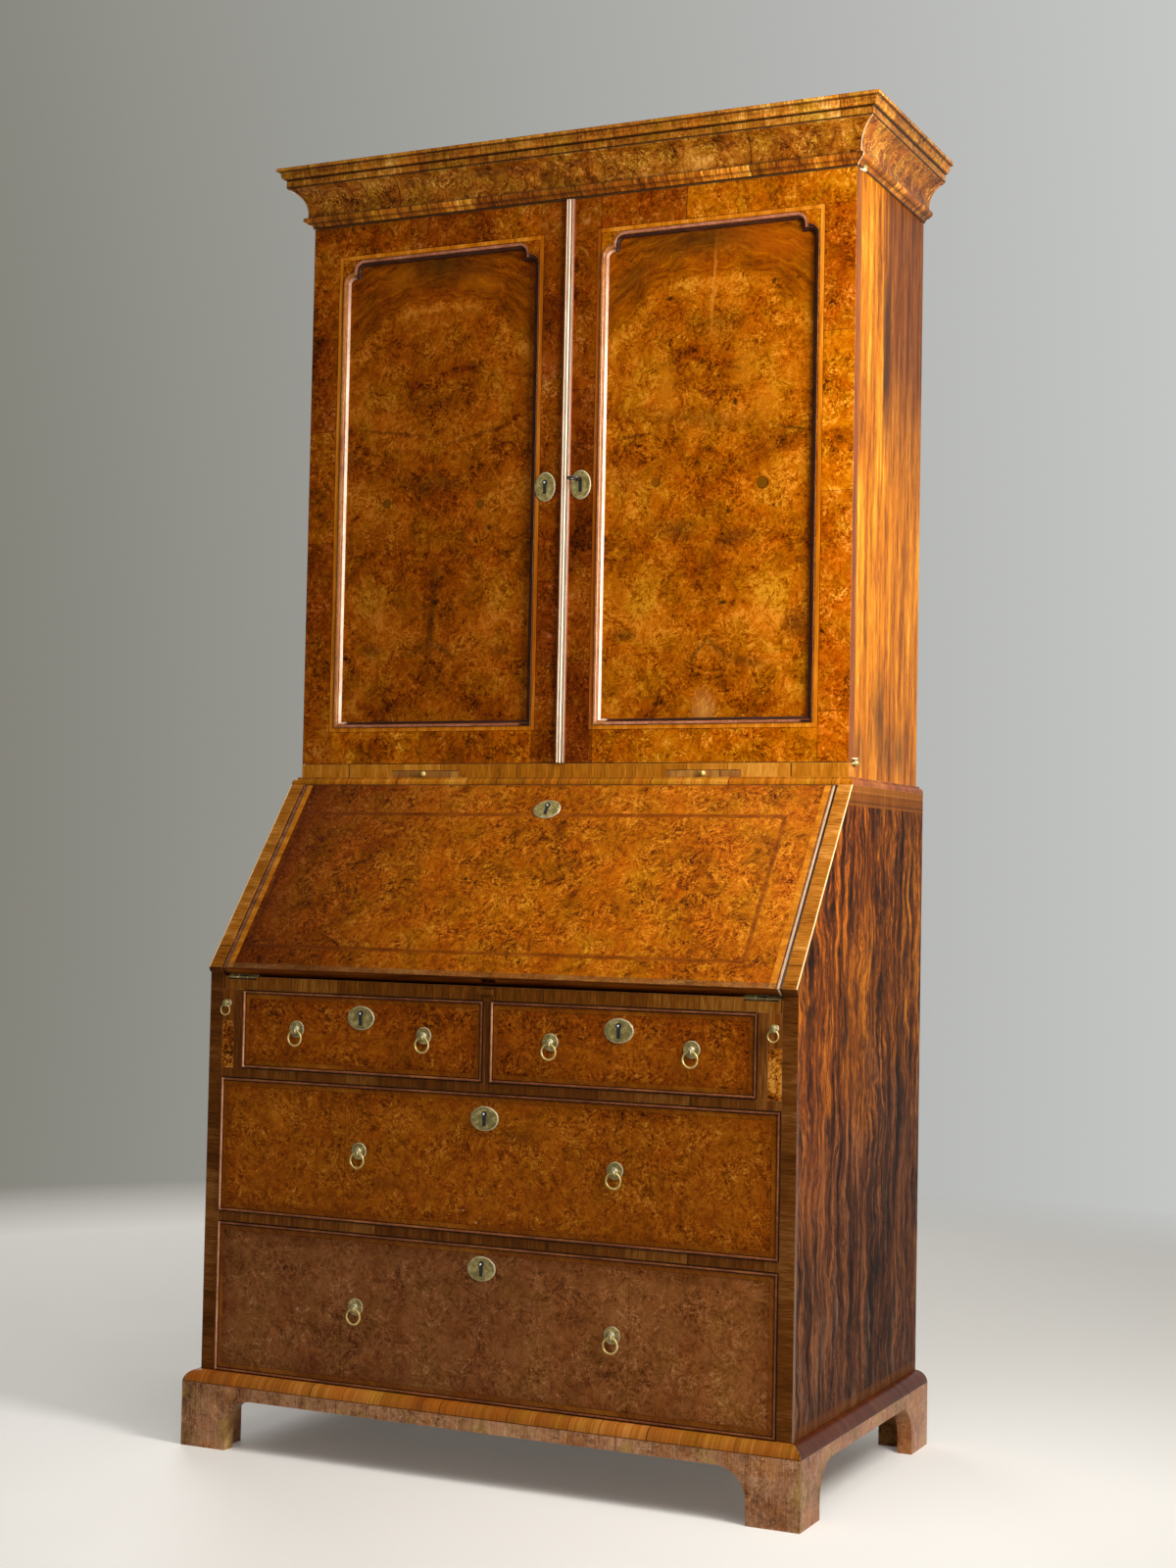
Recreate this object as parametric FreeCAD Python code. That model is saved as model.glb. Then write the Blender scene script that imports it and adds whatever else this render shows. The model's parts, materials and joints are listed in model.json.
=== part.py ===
import FreeCAD, Part
import math
import os

# Bureau bookcase in two parts, veneered in burr walnut.
# Lengths are millimetres. X runs to the right, Y to the back, Z up.
# The drawer fronts lie on Y = 0 while the parts are built; every part is moved by
# frame_shift_y when it is written, so that the origin lies under the middle of the piece.

# Bureau carcass
carcass_width = 1000.0
carcass_depth = 579.0
side_board = 24.0
back_board = 12.0
back_strip_gap = 0.6
back_strips = 4
carcass_bottom_z = 100.0
bottom_board = 18.0
top_board = 18.0

# Slope of the fall
slope_angle = math.radians(52.76)
slope_rise = 301.5
lip_y = -6.5
lip_rise = 14.5
lip_cove_reach = 4.2
lip_cove_drop = 6.9
lip_foot_drop = 10.0
fall_half_width = 475.4
fall_top_gap = 1.4176
fall_thickness = 20.6
fall_lip_thickness = 8.0
fall_rebate_length = 17.3
fall_rebate_gap = 0.4
fall_end_gap = 0.5
fall_sink = 0.3
fall_bead_outer = 6.0
fall_bead_inner = 3.4
fall_bead_depth = 1.9
fall_bead_drop = 0.2

# Writing board under the fall
writing_board = 21.0
lug_half_width = 11.0
lug_reach = 5.0
lug_height = 7.0
lug_drop = 5.0
lug_side_gap = 1.5
lug_slot_length = 6.4
lug_slot_near = 3.6
lug_slot_far = 16.6

# Hinges of the fall
fall_hinge_inner_x = 415.0
fall_hinge_outer_x = 469.0
fall_knuckle_radius = 2.5
fall_pin_radius = 1.0
fall_pin_bore_radius = 1.05
fall_leaf = 1.8
fall_leaf_length = 32.0
fall_knuckle_room = 3.2
fall_knuckle_gap = 0.3

# Lock and key plate of the fall
fall_lock_half_width = 35.0
fall_lock_below = 21.0
fall_lock_above = 23.0
fall_lock_depth = 8.0
fall_lock_gap = 0.2
fall_plate_drop = 50.3

# Drawer rails and guides
rail_depth = 50.0
rail_height = 14.5
long_bottom_space = 237.0
long_top_space = 213.5
small_space = 124.5
dust_board = 12.0
divider_half = 5.5
guide_inner_x = 438.5
guide_outer_x = 454.5
loper_space = 50.3
runner_gap = 0.3

# Drawers
front_board = 20.0
front_gap = 1.0
bead_width = 4.2
bead_proud = 2.0
bead_depth = 9.0
bead_round = 1.8
drawer_side = 11.0
drawer_side_gap = 1.6
drawer_side_drop = 9.0
drawer_back_gap = 22.0
drawer_bottom = 7.0
drawer_bottom_rise = 6.0

# Lopers
loper_gap = 0.6
loper_rise = 0.3
loper_back_gap = 27.0

# Ring pulls: plate, dome, barrel, ring
pull_plate_radius = 13.0
pull_plate = 1.6
pull_rim = 0.8
pull_dome_radius = 4.6
pull_dome_reach = 4.0
pull_barrel_radius = 3.8
pull_barrel_half = 2.5
pull_bore_radius = 2.1
pull_pivot_reach = 6.6
pull_pivot_drop = 2.6
ring_radius = 11.6
ring_wire = 1.5
small_pull_x = (108.0, 336.5)
small_pull_rise = 65.5
long_pull_x = 218.0
long_top_pull_rise = 110.5
long_bottom_pull_rise = 122.5
loper_pull_x = 465.3
loper_pull_rise = 28.0

# Ball pulls of the lopers: rose, stem, ball with a flared hole, small ring
loper_rose_radius = 5.4
loper_rose = 1.4
loper_stem_radius = 2.8
loper_ball_radius = 6.3
loper_ball_reach = 7.8
loper_bore_radius = 1.35
loper_bore_straight = 0.8
loper_flare_radius = 4.2
loper_pivot_reach = 9.8
loper_pivot_drop = 2.2
loper_ring_radius = 8.2
loper_ring_wire = 1.0

# Key plates
key_plate_major = 23.8
key_plate_minor = 18.5
key_plate = 1.8
key_plate_edge = 0.9
key_plate_bevel = 1.2
key_hole_radius = 3.6
key_hole_half = 1.9
key_hole_drop = 10.5
small_key_x = 220.0
small_key_rise = 87.5
long_top_key_rise = 173.5
long_bottom_key_rise = 200.0

# Base moulding and plinth
base_round = 20.0
base_fillet = 1.0
plinth_projection = 21.0
plinth_bearing = 3.0
foot_width = 82.0
bracket_straight = 30.0
bracket_rise = 50.0
bracket_run_front = 44.0
bracket_run_side = 58.0
foot_block = 44.0

# Inner case behind the fall
case_front_y = 258.0
case_board = 8.0
case_back_gap = 7.0
case_well_height = 60.0
case_well_half = 160.0
case_centre_half = 84.0
case_side_holes = 3
case_partition = 6.0
valance_height = 42.0
valance_depth = 5.0
valance_margin = 7.0
inner_drawer_gap = 0.8
inner_front = 12.0
inner_side = 7.0
inner_back_gap = 20.0
inner_knob_radius = 7.0
inner_knob_neck = 3.0
inner_knob_reach = 15.0

# Waist moulding between the two parts
waist_profile = [(0.0, 0.0), (12.0, 0.0), (12.0, 3.0), ((10.6, 7.0), (6.6, 9.2)),
                 (5.4, 9.8), (5.4, 12.5), (0.0, 12.5)]

# Bookcase carcass
bookcase_half = 488.0
bookcase_front_y = 237.0
bookcase_side = 18.0
bookcase_side_front_y = 261.0
bookcase_side_rise = 86.0
slide_rail_height = 34.5
bookcase_bottom_board = 10.0
bookcase_top_board = 18.0
shelf_board = 14.0
shelf_front_y = 275.0
shelf_rises = (231.5, 506.5, 706.5)
shelf_gap = 1.0
batten_height = 14.0
batten_width = 10.0

# Candle slides
slide_opening_x = (186.0, 311.0)
slide_opening_rise = 12.7
slide_opening_height = 11.1
slide_gap = 0.8
slide_rise = 0.3
slide_back_gap = 47.0
slide_guide = 10.0
slide_knob_radius = 4.6
slide_knob_neck = 2.2
slide_knob_reach = 9.5
slide_knob_x = 250.0

# Cornice, from the doors up
cornice_gap = 1.2
cornice_bead_height = 16.3
cornice_bead_profile = [(0.0, 0.0), (2.6, 0.0), ((4.6, 4.4), (9.4, 6.6)), (10.4, 6.8), (10.6, 8.6),
                        ((13.4, 9.6), (15.4, 12.0)), (15.6, 16.3), (0.0, 16.3)]
cornice_frieze_height = 48.5
cornice_frieze_profile = [(0.0, 0.0), (9.6, 0.0), (9.6, 11.0), ((16.0, 32.0), (34.8, 46.6)),
                          (34.8, 48.5), (0.0, 48.5)]
cornice_crown_profile = [(0.0, 0.0), (36.6, 0.0), (36.6, 12.6), (38.4, 13.4), ((42.6, 16.6), (43.8, 21.2)),
                         ((45.2, 25.2), (49.2, 26.6)), (50.0, 27.0), (50.0, 32.0), (0.0, 32.0)]
cornice_reach = 60.0
cover_board = 8.0

# Doors
door_gap = 1.0
door_height = 917.5
door_back_y = 260.7
left_door_x = (-488.0, -9.0)
right_door_x = (-7.5, 488.0)
sight_inner_x = 55.0
sight_outer_x = 429.0
sight_bottom_rise = 59.9
sight_top_drop = 60.4
sight_lobe = 20.0
sight_step = 1.0
sight_fit = 0.2
sight_sections = [(-1.4, 3.2), (-1.0, 4.6), (0.2, 5.8), (1.6, 6.4), (2.0, 7.6), (3.4, 9.6), (5.4, 10.8),
                  (8.0, 11.2)]
door_moulding_proud = 1.4
panel_face_y = 245.0
panel_board = 11.0

# Astragal on the right door, as offsets to the front of the door face
astragal_profile = [(-8.5, 0.0), (-8.5, -2.8), ((-5.9, -5.4), (-3.3, -2.8)), ((-0.7, -5.4), (1.9, -2.8)),
                    (3.1, -2.4), ((5.2, -4.5), (7.3, -2.4)), (7.3, 0.0)]

# Pin hinges of the doors
door_pivot_x = 490.5
door_pivot_y = 261.15
ball_radius = 5.2
ball_top_rise = 5.3
ball_bottom_drop = 0.7
hinge_pin_radius = 2.0
hinge_bore_radius = 2.05
hinge_eye_radius = 4.4
hinge_plate = 1.6
hinge_plate_x = (446.0, 487.0)
hinge_plate_y = (244.0, 256.0)
hinge_neck_y = 251.0
door_eye_top_drop = 1.8
door_eye_bottom_rise = 4.9
fixed_eye_top_rise = 0.1
fixed_eye_bottom_drop = 2.6
ball_room = 5.8
ball_notch = 6.4
pin_overrun = 0.4

# Door lock, bolt and key
door_key_x = 26.3
door_plate_left_x = -37.6
door_key_rise = 449.5
key_axis_rise = 7.0
lock_x = (-6.0, 58.0)
lock_below = 32.0
lock_above = 34.0
lock_depth = 13.0
lock_wall = 1.6
bolt_x = (-5.0, 9.0)
bolt_half_height = 5.0
bolt_y = (264.0, 270.0)
bolt_gap = 0.3
keeper_x = (-24.0, -11.0)
keeper_wall = 2.5
key_shaft_radius = 2.2
key_shaft_room = 2.8
key_tip_y = 270.0
key_neck_y = 222.0
key_bow_radius = 10.6
key_bow_wire = 1.9
key_bit = (2.2, 8.5, 6.0)
key_collar_radius = 3.6
key_collar_length = 3.0

half_width = carcass_width / 2
inner_half = half_width - side_board
frame_shift_y = (plinth_projection - carcass_depth) / 2
panel_back_y = carcass_depth - back_board

# Heights of the bureau, from its bottom board up to its top
lower_rail_z = (carcass_bottom_z + bottom_board + long_bottom_space,
                carcass_bottom_z + bottom_board + long_bottom_space + rail_height)
upper_rail_z = (lower_rail_z[1] + long_top_space, lower_rail_z[1] + long_top_space + rail_height)
writing_board_z = upper_rail_z[1] + small_space
writing_top_z = writing_board_z + writing_board
loper_floor_z = writing_board_z - loper_space
lug_top_z = writing_top_z - lug_drop
lug_bottom_z = lug_top_z - lug_height
lip_z = writing_top_z + lip_rise
lip_foot_z = lip_z - lip_foot_drop
lip_cove_mid = (-lip_cove_reach, lip_z - lip_cove_drop)
bureau_top_z = lip_z + slope_rise
case_tier_z = writing_top_z + case_well_height

# The fall ends just short of the upper end of the slope
fall_length = slope_rise / math.sin(slope_angle) - fall_top_gap
fall_body_length = fall_length - fall_rebate_length
fall_plate_s = fall_length - fall_plate_drop
fall_lock_near = fall_plate_s - fall_lock_below
fall_lock_far = fall_plate_s + fall_lock_above

# Heights of the bookcase, from the top of the bureau up to the cornice
slide_opening_z = (bureau_top_z + slide_opening_rise, bureau_top_z + slide_opening_rise + slide_opening_height)
slide_rail_top_z = bureau_top_z + slide_rail_height
bookcase_bottom_z = slide_rail_top_z - bookcase_bottom_board
shelf_heights = [slide_rail_top_z + rise for rise in shelf_rises]
door_z = (slide_rail_top_z + door_gap, slide_rail_top_z + door_gap + door_height)
sight_z = (door_z[0] + sight_bottom_rise, door_z[1] - sight_top_drop)
bookcase_top_z = (door_z[1] - bookcase_top_board, door_z[1])
bookcase_side_top_z = door_z[1] + bookcase_side_rise
cornice_bottom_z = door_z[1] + cornice_gap

# Heights of the door hinges and of the lock
ball_top_z = door_z[1] + ball_top_rise
ball_bottom_z = door_z[0] - ball_bottom_drop
door_eye_top_z = door_z[1] - door_eye_top_drop
door_eye_bottom_z = door_z[0] + door_eye_bottom_rise
fixed_eye_top_z = door_z[1] + fixed_eye_top_rise
fixed_eye_bottom_z = door_z[0] - fixed_eye_bottom_drop
door_key_z = door_z[0] + door_key_rise
lock_z = (door_key_z - lock_below, door_key_z + lock_above)
bolt_z = (door_key_z - bolt_half_height, door_key_z + bolt_half_height)

# Drawer fronts fill the spaces between the rails, with a gap all round
long_top_z = (lower_rail_z[1] + front_gap, upper_rail_z[0] - front_gap)
long_bottom_z = (carcass_bottom_z + bottom_board + front_gap, lower_rail_z[0] - front_gap)
small_z = (upper_rail_z[1] + front_gap, writing_board_z - front_gap)
small_inner_x = divider_half + front_gap
small_outer_x = guide_inner_x - front_gap
loper_x = (guide_outer_x + loper_gap, inner_half - loper_gap)
loper_z = (loper_floor_z + loper_rise, writing_board_z - loper_rise)

# Heights of the pulls and key plates on their drawers and lopers
small_pull_z = small_z[0] + small_pull_rise
small_key_z = small_z[0] + small_key_rise
long_top_pull_z = long_top_z[0] + long_top_pull_rise
long_top_key_z = long_top_z[0] + long_top_key_rise
long_bottom_pull_z = long_bottom_z[0] + long_bottom_pull_rise
long_bottom_key_z = long_bottom_z[0] + long_bottom_key_rise
loper_pull_z = loper_z[0] + loper_pull_rise

# The base moulding ends level with the bottom board, so that the lowest drawer runs out over it
base_height = bottom_board

# Backs of what runs in the carcass
drawer_back_y = panel_back_y - drawer_back_gap
loper_back_y = panel_back_y - loper_back_gap
case_back_y = panel_back_y - case_back_gap
inner_back_y = case_back_y - inner_back_gap
slide_back_y = panel_back_y - slide_back_gap


def vector(x, y, z):
    return FreeCAD.Vector(x, y, z)


def block(x_pair, y_pair, z_pair):
    """A box between three pairs of coordinates."""
    size = vector(x_pair[1] - x_pair[0], y_pair[1] - y_pair[0], z_pair[1] - z_pair[0])
    return Part.makeBox(size.x, size.y, size.z, vector(x_pair[0], y_pair[0], z_pair[0]))


def closed_wire(entries, place):
    """A closed wire through the entries: a point is a line to it, a pair of points an arc."""
    edges = []
    here = place(*entries[0])
    for entry in entries[1:] + [entries[0]]:
        if isinstance(entry[0], tuple):
            middle, end = entry
            edges.append(Part.Arc(here, place(*middle), place(*end)).toShape())
        else:
            end = entry
            edges.append(Part.makeLine(here, place(*end)))
        here = place(*end)
    return Part.Wire(edges)


def along_x(entries, x_pair):
    """The outline given in Y and Z, drawn out between two X places."""
    wire = closed_wire(entries, lambda y, z: vector(x_pair[0], y, z))
    return Part.Face(wire).extrude(vector(x_pair[1] - x_pair[0], 0, 0))


def along_y(entries, y_pair):
    """The outline given in X and Z, drawn out between two Y places."""
    wire = closed_wire(entries, lambda x, z: vector(x, y_pair[0], z))
    return Part.Face(wire).extrude(vector(0, y_pair[1] - y_pair[0], 0))


def along_z(entries, z_pair):
    """The outline given in X and Y, drawn out between two heights."""
    wire = closed_wire(entries, lambda x, y: vector(x, y, z_pair[0]))
    return Part.Face(wire).extrude(vector(0, 0, z_pair[1] - z_pair[0]))


def rod(radius, start, end):
    """A round bar between two points."""
    line = end.sub(start)
    return Part.makeCylinder(radius, line.Length, start, line)


def mirrored(shape):
    return shape.mirror(vector(0, 0, 0), vector(1, 0, 0))


def pair(shape):
    return [shape, mirrored(shape)]


def solids_of(shapes):
    """All single solids in a list of shapes."""
    found = []
    for shape in shapes:
        found.extend(shape.Solids)
    return found


def write(name, shapes):
    """Write one part, moved so that the origin lies under its middle."""
    found = solids_of(shapes)
    body = found[0] if len(found) == 1 else Part.makeCompound(found)
    body.translate(vector(0, frame_shift_y, 0))
    body.exportStep(os.path.join("parts", name + ".step"))


def raised(profile, base_z):
    """A moulding profile lifted to its height."""
    lifted = []
    for entry in profile:
        if isinstance(entry[0], tuple):
            lifted.append(tuple((out, up + base_z) for out, up in entry))
        else:
            lifted.append((entry[0], entry[1] + base_z))
    return lifted


def placed(profile, change):
    """A profile with each point changed by a function of its two numbers."""
    moved = []
    for entry in profile:
        if isinstance(entry[0], tuple):
            moved.append(tuple(change(*point) for point in entry))
        else:
            moved.append(change(*entry))
    return moved


def mitred_runs(profile, face_x, face_y, back_y, reach, inset=0.0):
    """Front and two side runs of a moulding, mitred at the front corners."""
    front = along_x(placed(profile, lambda out, up: (face_y - out, up)), (-face_x - reach, face_x + reach))
    low = front.BoundBox.ZMin
    high = front.BoundBox.ZMax
    side = along_y(placed(profile, lambda out, up: (face_x + out, up)), (face_y - reach, back_y))
    front_plan = [(-face_x - reach, face_y - reach), (face_x + reach, face_y - reach),
                  (face_x - inset, face_y + inset), (inset - face_x, face_y + inset)]
    side_plan = [(face_x - inset, face_y + inset), (face_x + reach, face_y - reach),
                 (face_x + reach, back_y), (face_x - inset, back_y)]
    front = front.common(along_z(front_plan, (low, high)))
    side = side.common(along_z(side_plan, (low, high)))
    return [front] + pair(side)


def slope_point(distance, depth):
    """Y and Z of a place on the slope: distance up from its lower edge, depth below its face."""
    y = lip_y + distance * math.cos(slope_angle) + depth * math.sin(slope_angle)
    z = lip_z + distance * math.sin(slope_angle) - depth * math.cos(slope_angle)
    return y, z


def fall_pivot():
    """Y and Z of the line the fall turns on, from its lower outer corner shut and open."""
    turn = slope_angle - math.pi
    open_y = -fall_end_gap
    open_z = writing_top_z - fall_sink - fall_thickness
    along = lip_y - (math.cos(turn) * open_y - math.sin(turn) * open_z)
    up = lip_z - (math.sin(turn) * open_y + math.cos(turn) * open_z)
    spread = 2 * (1 - math.cos(turn))
    y = ((1 - math.cos(turn)) * along - math.sin(turn) * up) / spread
    z = (math.sin(turn) * along + (1 - math.cos(turn)) * up) / spread
    return y, z


def shut_from_open(shape):
    """Turn a piece of the fall from its open place to its shut place."""
    y, z = fall_pivot()
    shape.rotate(vector(0, y, z), vector(1, 0, 0), math.degrees(slope_angle) - 180)
    return shape


def bureau_side():
    slope_end = (bureau_top_z - lip_z) / math.sin(slope_angle)
    outline = [(0.0, carcass_bottom_z), (0.0, lip_foot_z), (lip_cove_mid, (lip_y, lip_z)),
               slope_point(slope_end, 0), (carcass_depth, bureau_top_z), (carcass_depth, carcass_bottom_z)]
    return along_x(outline, (inner_half, half_width))


def bureau_top():
    nose = fall_lip_thickness + fall_rebate_gap
    rise = nose * math.cos(slope_angle)
    upper = (bureau_top_z - lip_z + rise) / math.sin(slope_angle)
    lower = (bureau_top_z - top_board - lip_z + rise) / math.sin(slope_angle)
    outline = [slope_point(lower, nose), slope_point(upper, nose),
               (panel_back_y, bureau_top_z), (panel_back_y, bureau_top_z - top_board)]
    return along_x(outline, (-inner_half, inner_half))


def back_boards(half, z_pair):
    """Upright back boards side by side between the carcass sides."""
    pitch = 2 * half / back_strips
    boards = []
    for number in range(back_strips):
        left = -half + number * pitch
        x_pair = (left + back_strip_gap / 2, left + pitch - back_strip_gap / 2)
        boards.append(block(x_pair, (panel_back_y, carcass_depth), z_pair))
    return boards


def fall_hinge_room():
    """Room for one knuckle at the front edge of the writing board."""
    y, z = fall_pivot()
    x_pair = (fall_hinge_inner_x - fall_knuckle_gap, fall_hinge_outer_x + fall_knuckle_gap)
    return block(x_pair, (-fall_end_gap, y + fall_knuckle_room), (z - fall_knuckle_room, writing_top_z))


def fall_hinge_thirds():
    """X pairs of the three knuckles of one hinge."""
    third = (fall_hinge_outer_x - fall_hinge_inner_x) / 3
    starts = [fall_hinge_inner_x + number * third for number in range(3)]
    return [(start + fall_knuckle_gap / 2, start + third - fall_knuckle_gap / 2) for start in starts]


def fixed_fall_leaf():
    """Leaf let into the writing board, with the middle knuckle and the pin."""
    y, z = fall_pivot()
    thirds = fall_hinge_thirds()
    z_pair = (z - fall_leaf / 2, z + fall_leaf / 2)
    leaf = block((fall_hinge_inner_x, fall_hinge_outer_x), (y + fall_knuckle_room, y + fall_leaf_length), z_pair)
    arm = block(thirds[1], (y, y + fall_knuckle_room), z_pair)
    knuckle = rod(fall_knuckle_radius, vector(thirds[1][0], y, z), vector(thirds[1][1], y, z))
    pin = rod(fall_pin_radius, vector(thirds[0][0], y, z), vector(thirds[2][1], y, z))
    return leaf.fuse([arm, knuckle, pin]).removeSplitter()


def moving_fall_leaf():
    """Leaf let into the fall, with the two outer knuckles, in its shut place."""
    y, z = fall_pivot()
    thirds = fall_hinge_thirds()
    z_pair = (z - fall_leaf / 2, z + fall_leaf / 2)
    near = -fall_end_gap
    leaf = block((fall_hinge_inner_x, fall_hinge_outer_x), (near - fall_leaf_length, near), z_pair)
    pieces = []
    for number in (0, 2):
        x_pair = thirds[number]
        pieces.append(block(x_pair, (near, y), z_pair))
        pieces.append(rod(fall_knuckle_radius, vector(x_pair[0], y, z), vector(x_pair[1], y, z)))
    whole = leaf.fuse(pieces)
    bore = rod(fall_pin_bore_radius, vector(thirds[0][0], y, z), vector(thirds[2][1], y, z))
    return shut_from_open(whole.cut(bore).removeSplitter())


def writing_board_solids():
    """Board under the fall with room for the hinges, and the lug on its front edge."""
    board = block((-inner_half, inner_half), (0.0, panel_back_y), (writing_board_z, writing_top_z))
    lug = block((-lug_half_width, lug_half_width), (-lug_reach, 0.0), (lug_bottom_z, lug_top_z))
    y, z = fall_pivot()
    pocket = block((fall_hinge_inner_x, fall_hinge_outer_x), (y + fall_knuckle_room, y + fall_leaf_length),
                   (z - fall_leaf / 2, writing_top_z))
    tools = pair(fall_hinge_room()) + pair(pocket)
    return [board.cut(tools), lug]


def fall_bead_cut():
    """What is cut away along the right edge of the fall to leave two beads."""
    edge = fall_half_width
    middle = edge - fall_bead_outer
    inner = middle - fall_bead_inner
    outline = [(inner, -pin_overrun), (edge + pin_overrun, -pin_overrun), (edge + pin_overrun, fall_bead_depth),
               (edge, fall_bead_depth), ((edge - fall_bead_outer / 2, fall_bead_drop), (middle, fall_bead_depth)),
               ((middle - fall_bead_inner / 2, fall_bead_drop), (inner, fall_bead_depth))]
    wire = closed_wire(outline, lambda x, depth: vector(x, *slope_point(-pin_overrun, depth)))
    start = vector(0, *slope_point(-pin_overrun, 0))
    end = vector(0, *slope_point(fall_length + pin_overrun, 0))
    return Part.Face(wire).extrude(end.sub(start))


def fall_board():
    """The fall in its shut place: rebated top edge, beaded sides, lug slot and hinge recesses."""
    outline = [slope_point(0, 0), slope_point(fall_length, 0), slope_point(fall_length, fall_lip_thickness),
               slope_point(fall_body_length, fall_lip_thickness), slope_point(fall_body_length, fall_thickness),
               slope_point(0, fall_thickness)]
    board = along_x(outline, (-fall_half_width, fall_half_width))
    slot_half = lug_half_width + lug_side_gap
    slot = along_x([slope_point(-lug_slot_length, lug_slot_near), slope_point(lug_slot_length, lug_slot_near),
                    slope_point(lug_slot_length, lug_slot_far), slope_point(-lug_slot_length, lug_slot_far)],
                   (-slot_half, slot_half))
    y, z = fall_pivot()
    leaf_room = block((fall_hinge_inner_x, fall_hinge_outer_x),
                      (-fall_end_gap - fall_leaf_length, y), (z - fall_leaf / 2, z + writing_board))
    leaf_room = shut_from_open(leaf_room)
    knuckle_room = rod(fall_knuckle_room, vector(fall_hinge_inner_x - fall_knuckle_gap, y, z),
                       vector(fall_hinge_outer_x + fall_knuckle_gap, y, z))
    lock_room = along_x([slope_point(fall_lock_near, fall_thickness - fall_lock_depth),
                         slope_point(fall_lock_far, fall_thickness - fall_lock_depth),
                         slope_point(fall_lock_far, fall_thickness), slope_point(fall_lock_near, fall_thickness)],
                        (-fall_lock_half_width, fall_lock_half_width))
    key_room = rod(key_hole_half, vector(0, *slope_point(fall_plate_s, 0)),
                   vector(0, *slope_point(fall_plate_s, fall_thickness)))
    tools = [slot, lock_room, key_room] + pair(leaf_room) + pair(knuckle_room) + pair(fall_bead_cut())
    return board.cut(tools).removeSplitter()


def fall_lock():
    """Lock box let into the inner face of the fall."""
    near = fall_lock_near + fall_lock_gap
    far = fall_lock_far - fall_lock_gap
    top = fall_thickness - fall_lock_depth
    half = fall_lock_half_width - fall_lock_gap
    box = along_x([slope_point(near, top), slope_point(far, top), slope_point(far, fall_thickness),
                   slope_point(near, fall_thickness)], (-half, half))
    hole = rod(key_hole_half, vector(0, *slope_point(fall_plate_s, 0)),
               vector(0, *slope_point(fall_plate_s, fall_thickness)))
    return box.cut(hole)


def drawer_rail(z_pair):
    return block((-inner_half, inner_half), (0.0, rail_depth), z_pair)


def dust_board_under(z_top):
    return block((-inner_half, inner_half), (rail_depth, panel_back_y), (z_top - dust_board, z_top))


def drawer_rail_solids():
    """Two rails, the upright between the small drawers and the boards beside the lopers."""
    z_pair = (upper_rail_z[1], writing_board_z)
    divider = block((-divider_half, divider_half), (0.0, drawer_back_y), z_pair)
    guide = block((guide_inner_x, guide_outer_x), (0.0, drawer_back_y), z_pair)
    return [drawer_rail(upper_rail_z), drawer_rail(lower_rail_z), divider] + pair(guide)


def drawer_guide_solids():
    """Dust boards and the blocks the lopers run on."""
    runner = block((guide_outer_x, inner_half), (0.0, drawer_back_y), (upper_rail_z[1], loper_floor_z))
    return [dust_board_under(upper_rail_z[1]), dust_board_under(lower_rail_z[1])] + pair(runner)


def cock_bead(x_pair, z_pair):
    """Rounded bead round the edge of a drawer front."""
    outer = block(x_pair, (-bead_proud, bead_depth), z_pair)
    inner = block((x_pair[0] + bead_width, x_pair[1] - bead_width), (-bead_proud, bead_depth),
                  (z_pair[0] + bead_width, z_pair[1] - bead_width))
    frame = outer.cut(inner)
    nose = [edge for edge in frame.Edges if abs(edge.BoundBox.YMax + bead_proud) < pin_overrun]
    return frame.makeFillet(bead_round, nose)


def drawer(x_pair, z_pair, floor_z):
    """Front board, bead, two sides, back and bottom of one drawer."""
    core = block((x_pair[0] + bead_width, x_pair[1] - bead_width), (0.0, front_board),
                 (z_pair[0] + bead_width, z_pair[1] - bead_width))
    front = core.fuse(block(x_pair, (bead_depth, front_board), z_pair)).removeSplitter()
    low = floor_z + runner_gap
    high = z_pair[1] - drawer_side_drop
    left = x_pair[0] + drawer_side_gap
    right = x_pair[1] - drawer_side_gap
    sides = [block((left, left + drawer_side), (front_board, drawer_back_y), (low, high)),
             block((right - drawer_side, right), (front_board, drawer_back_y), (low, high))]
    inside = (left + drawer_side, right - drawer_side)
    back = block(inside, (drawer_back_y - drawer_side, drawer_back_y), (low + drawer_bottom_rise, high))
    bottom_z = low + drawer_bottom_rise
    bottom = block(inside, (front_board, drawer_back_y - drawer_side), (bottom_z, bottom_z + drawer_bottom))
    return [front, cock_bead(x_pair, z_pair)] + sides + [back, bottom]


def pull_mount(x, z):
    """Plate, dome and barrel that hold one ring."""
    plate = rod(pull_plate_radius, vector(x, 0, z), vector(x, -pull_plate, z))
    rim = [edge for edge in plate.Edges if abs(edge.BoundBox.YMax + pull_plate) < pull_rim / 2]
    plate = plate.makeFillet(pull_rim, rim)
    dome = Part.makeCone(pull_dome_radius, pull_barrel_radius, pull_dome_reach - pull_plate,
                         vector(x, -pull_plate, z), vector(0, -1, 0))
    y = -pull_pivot_reach
    pivot_z = z - pull_pivot_drop
    half = pull_barrel_half
    barrel = rod(pull_barrel_radius, vector(x - half, y, pivot_z), vector(x + half, y, pivot_z))
    stem = block((x - half, x + half), (y, -pull_plate), (pivot_z, z + pull_pivot_drop / 2))
    bore = rod(pull_bore_radius, vector(x - half, y, pivot_z), vector(x + half, y, pivot_z))
    return plate.fuse([dome, stem, barrel]).cut(bore).removeSplitter()


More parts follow.
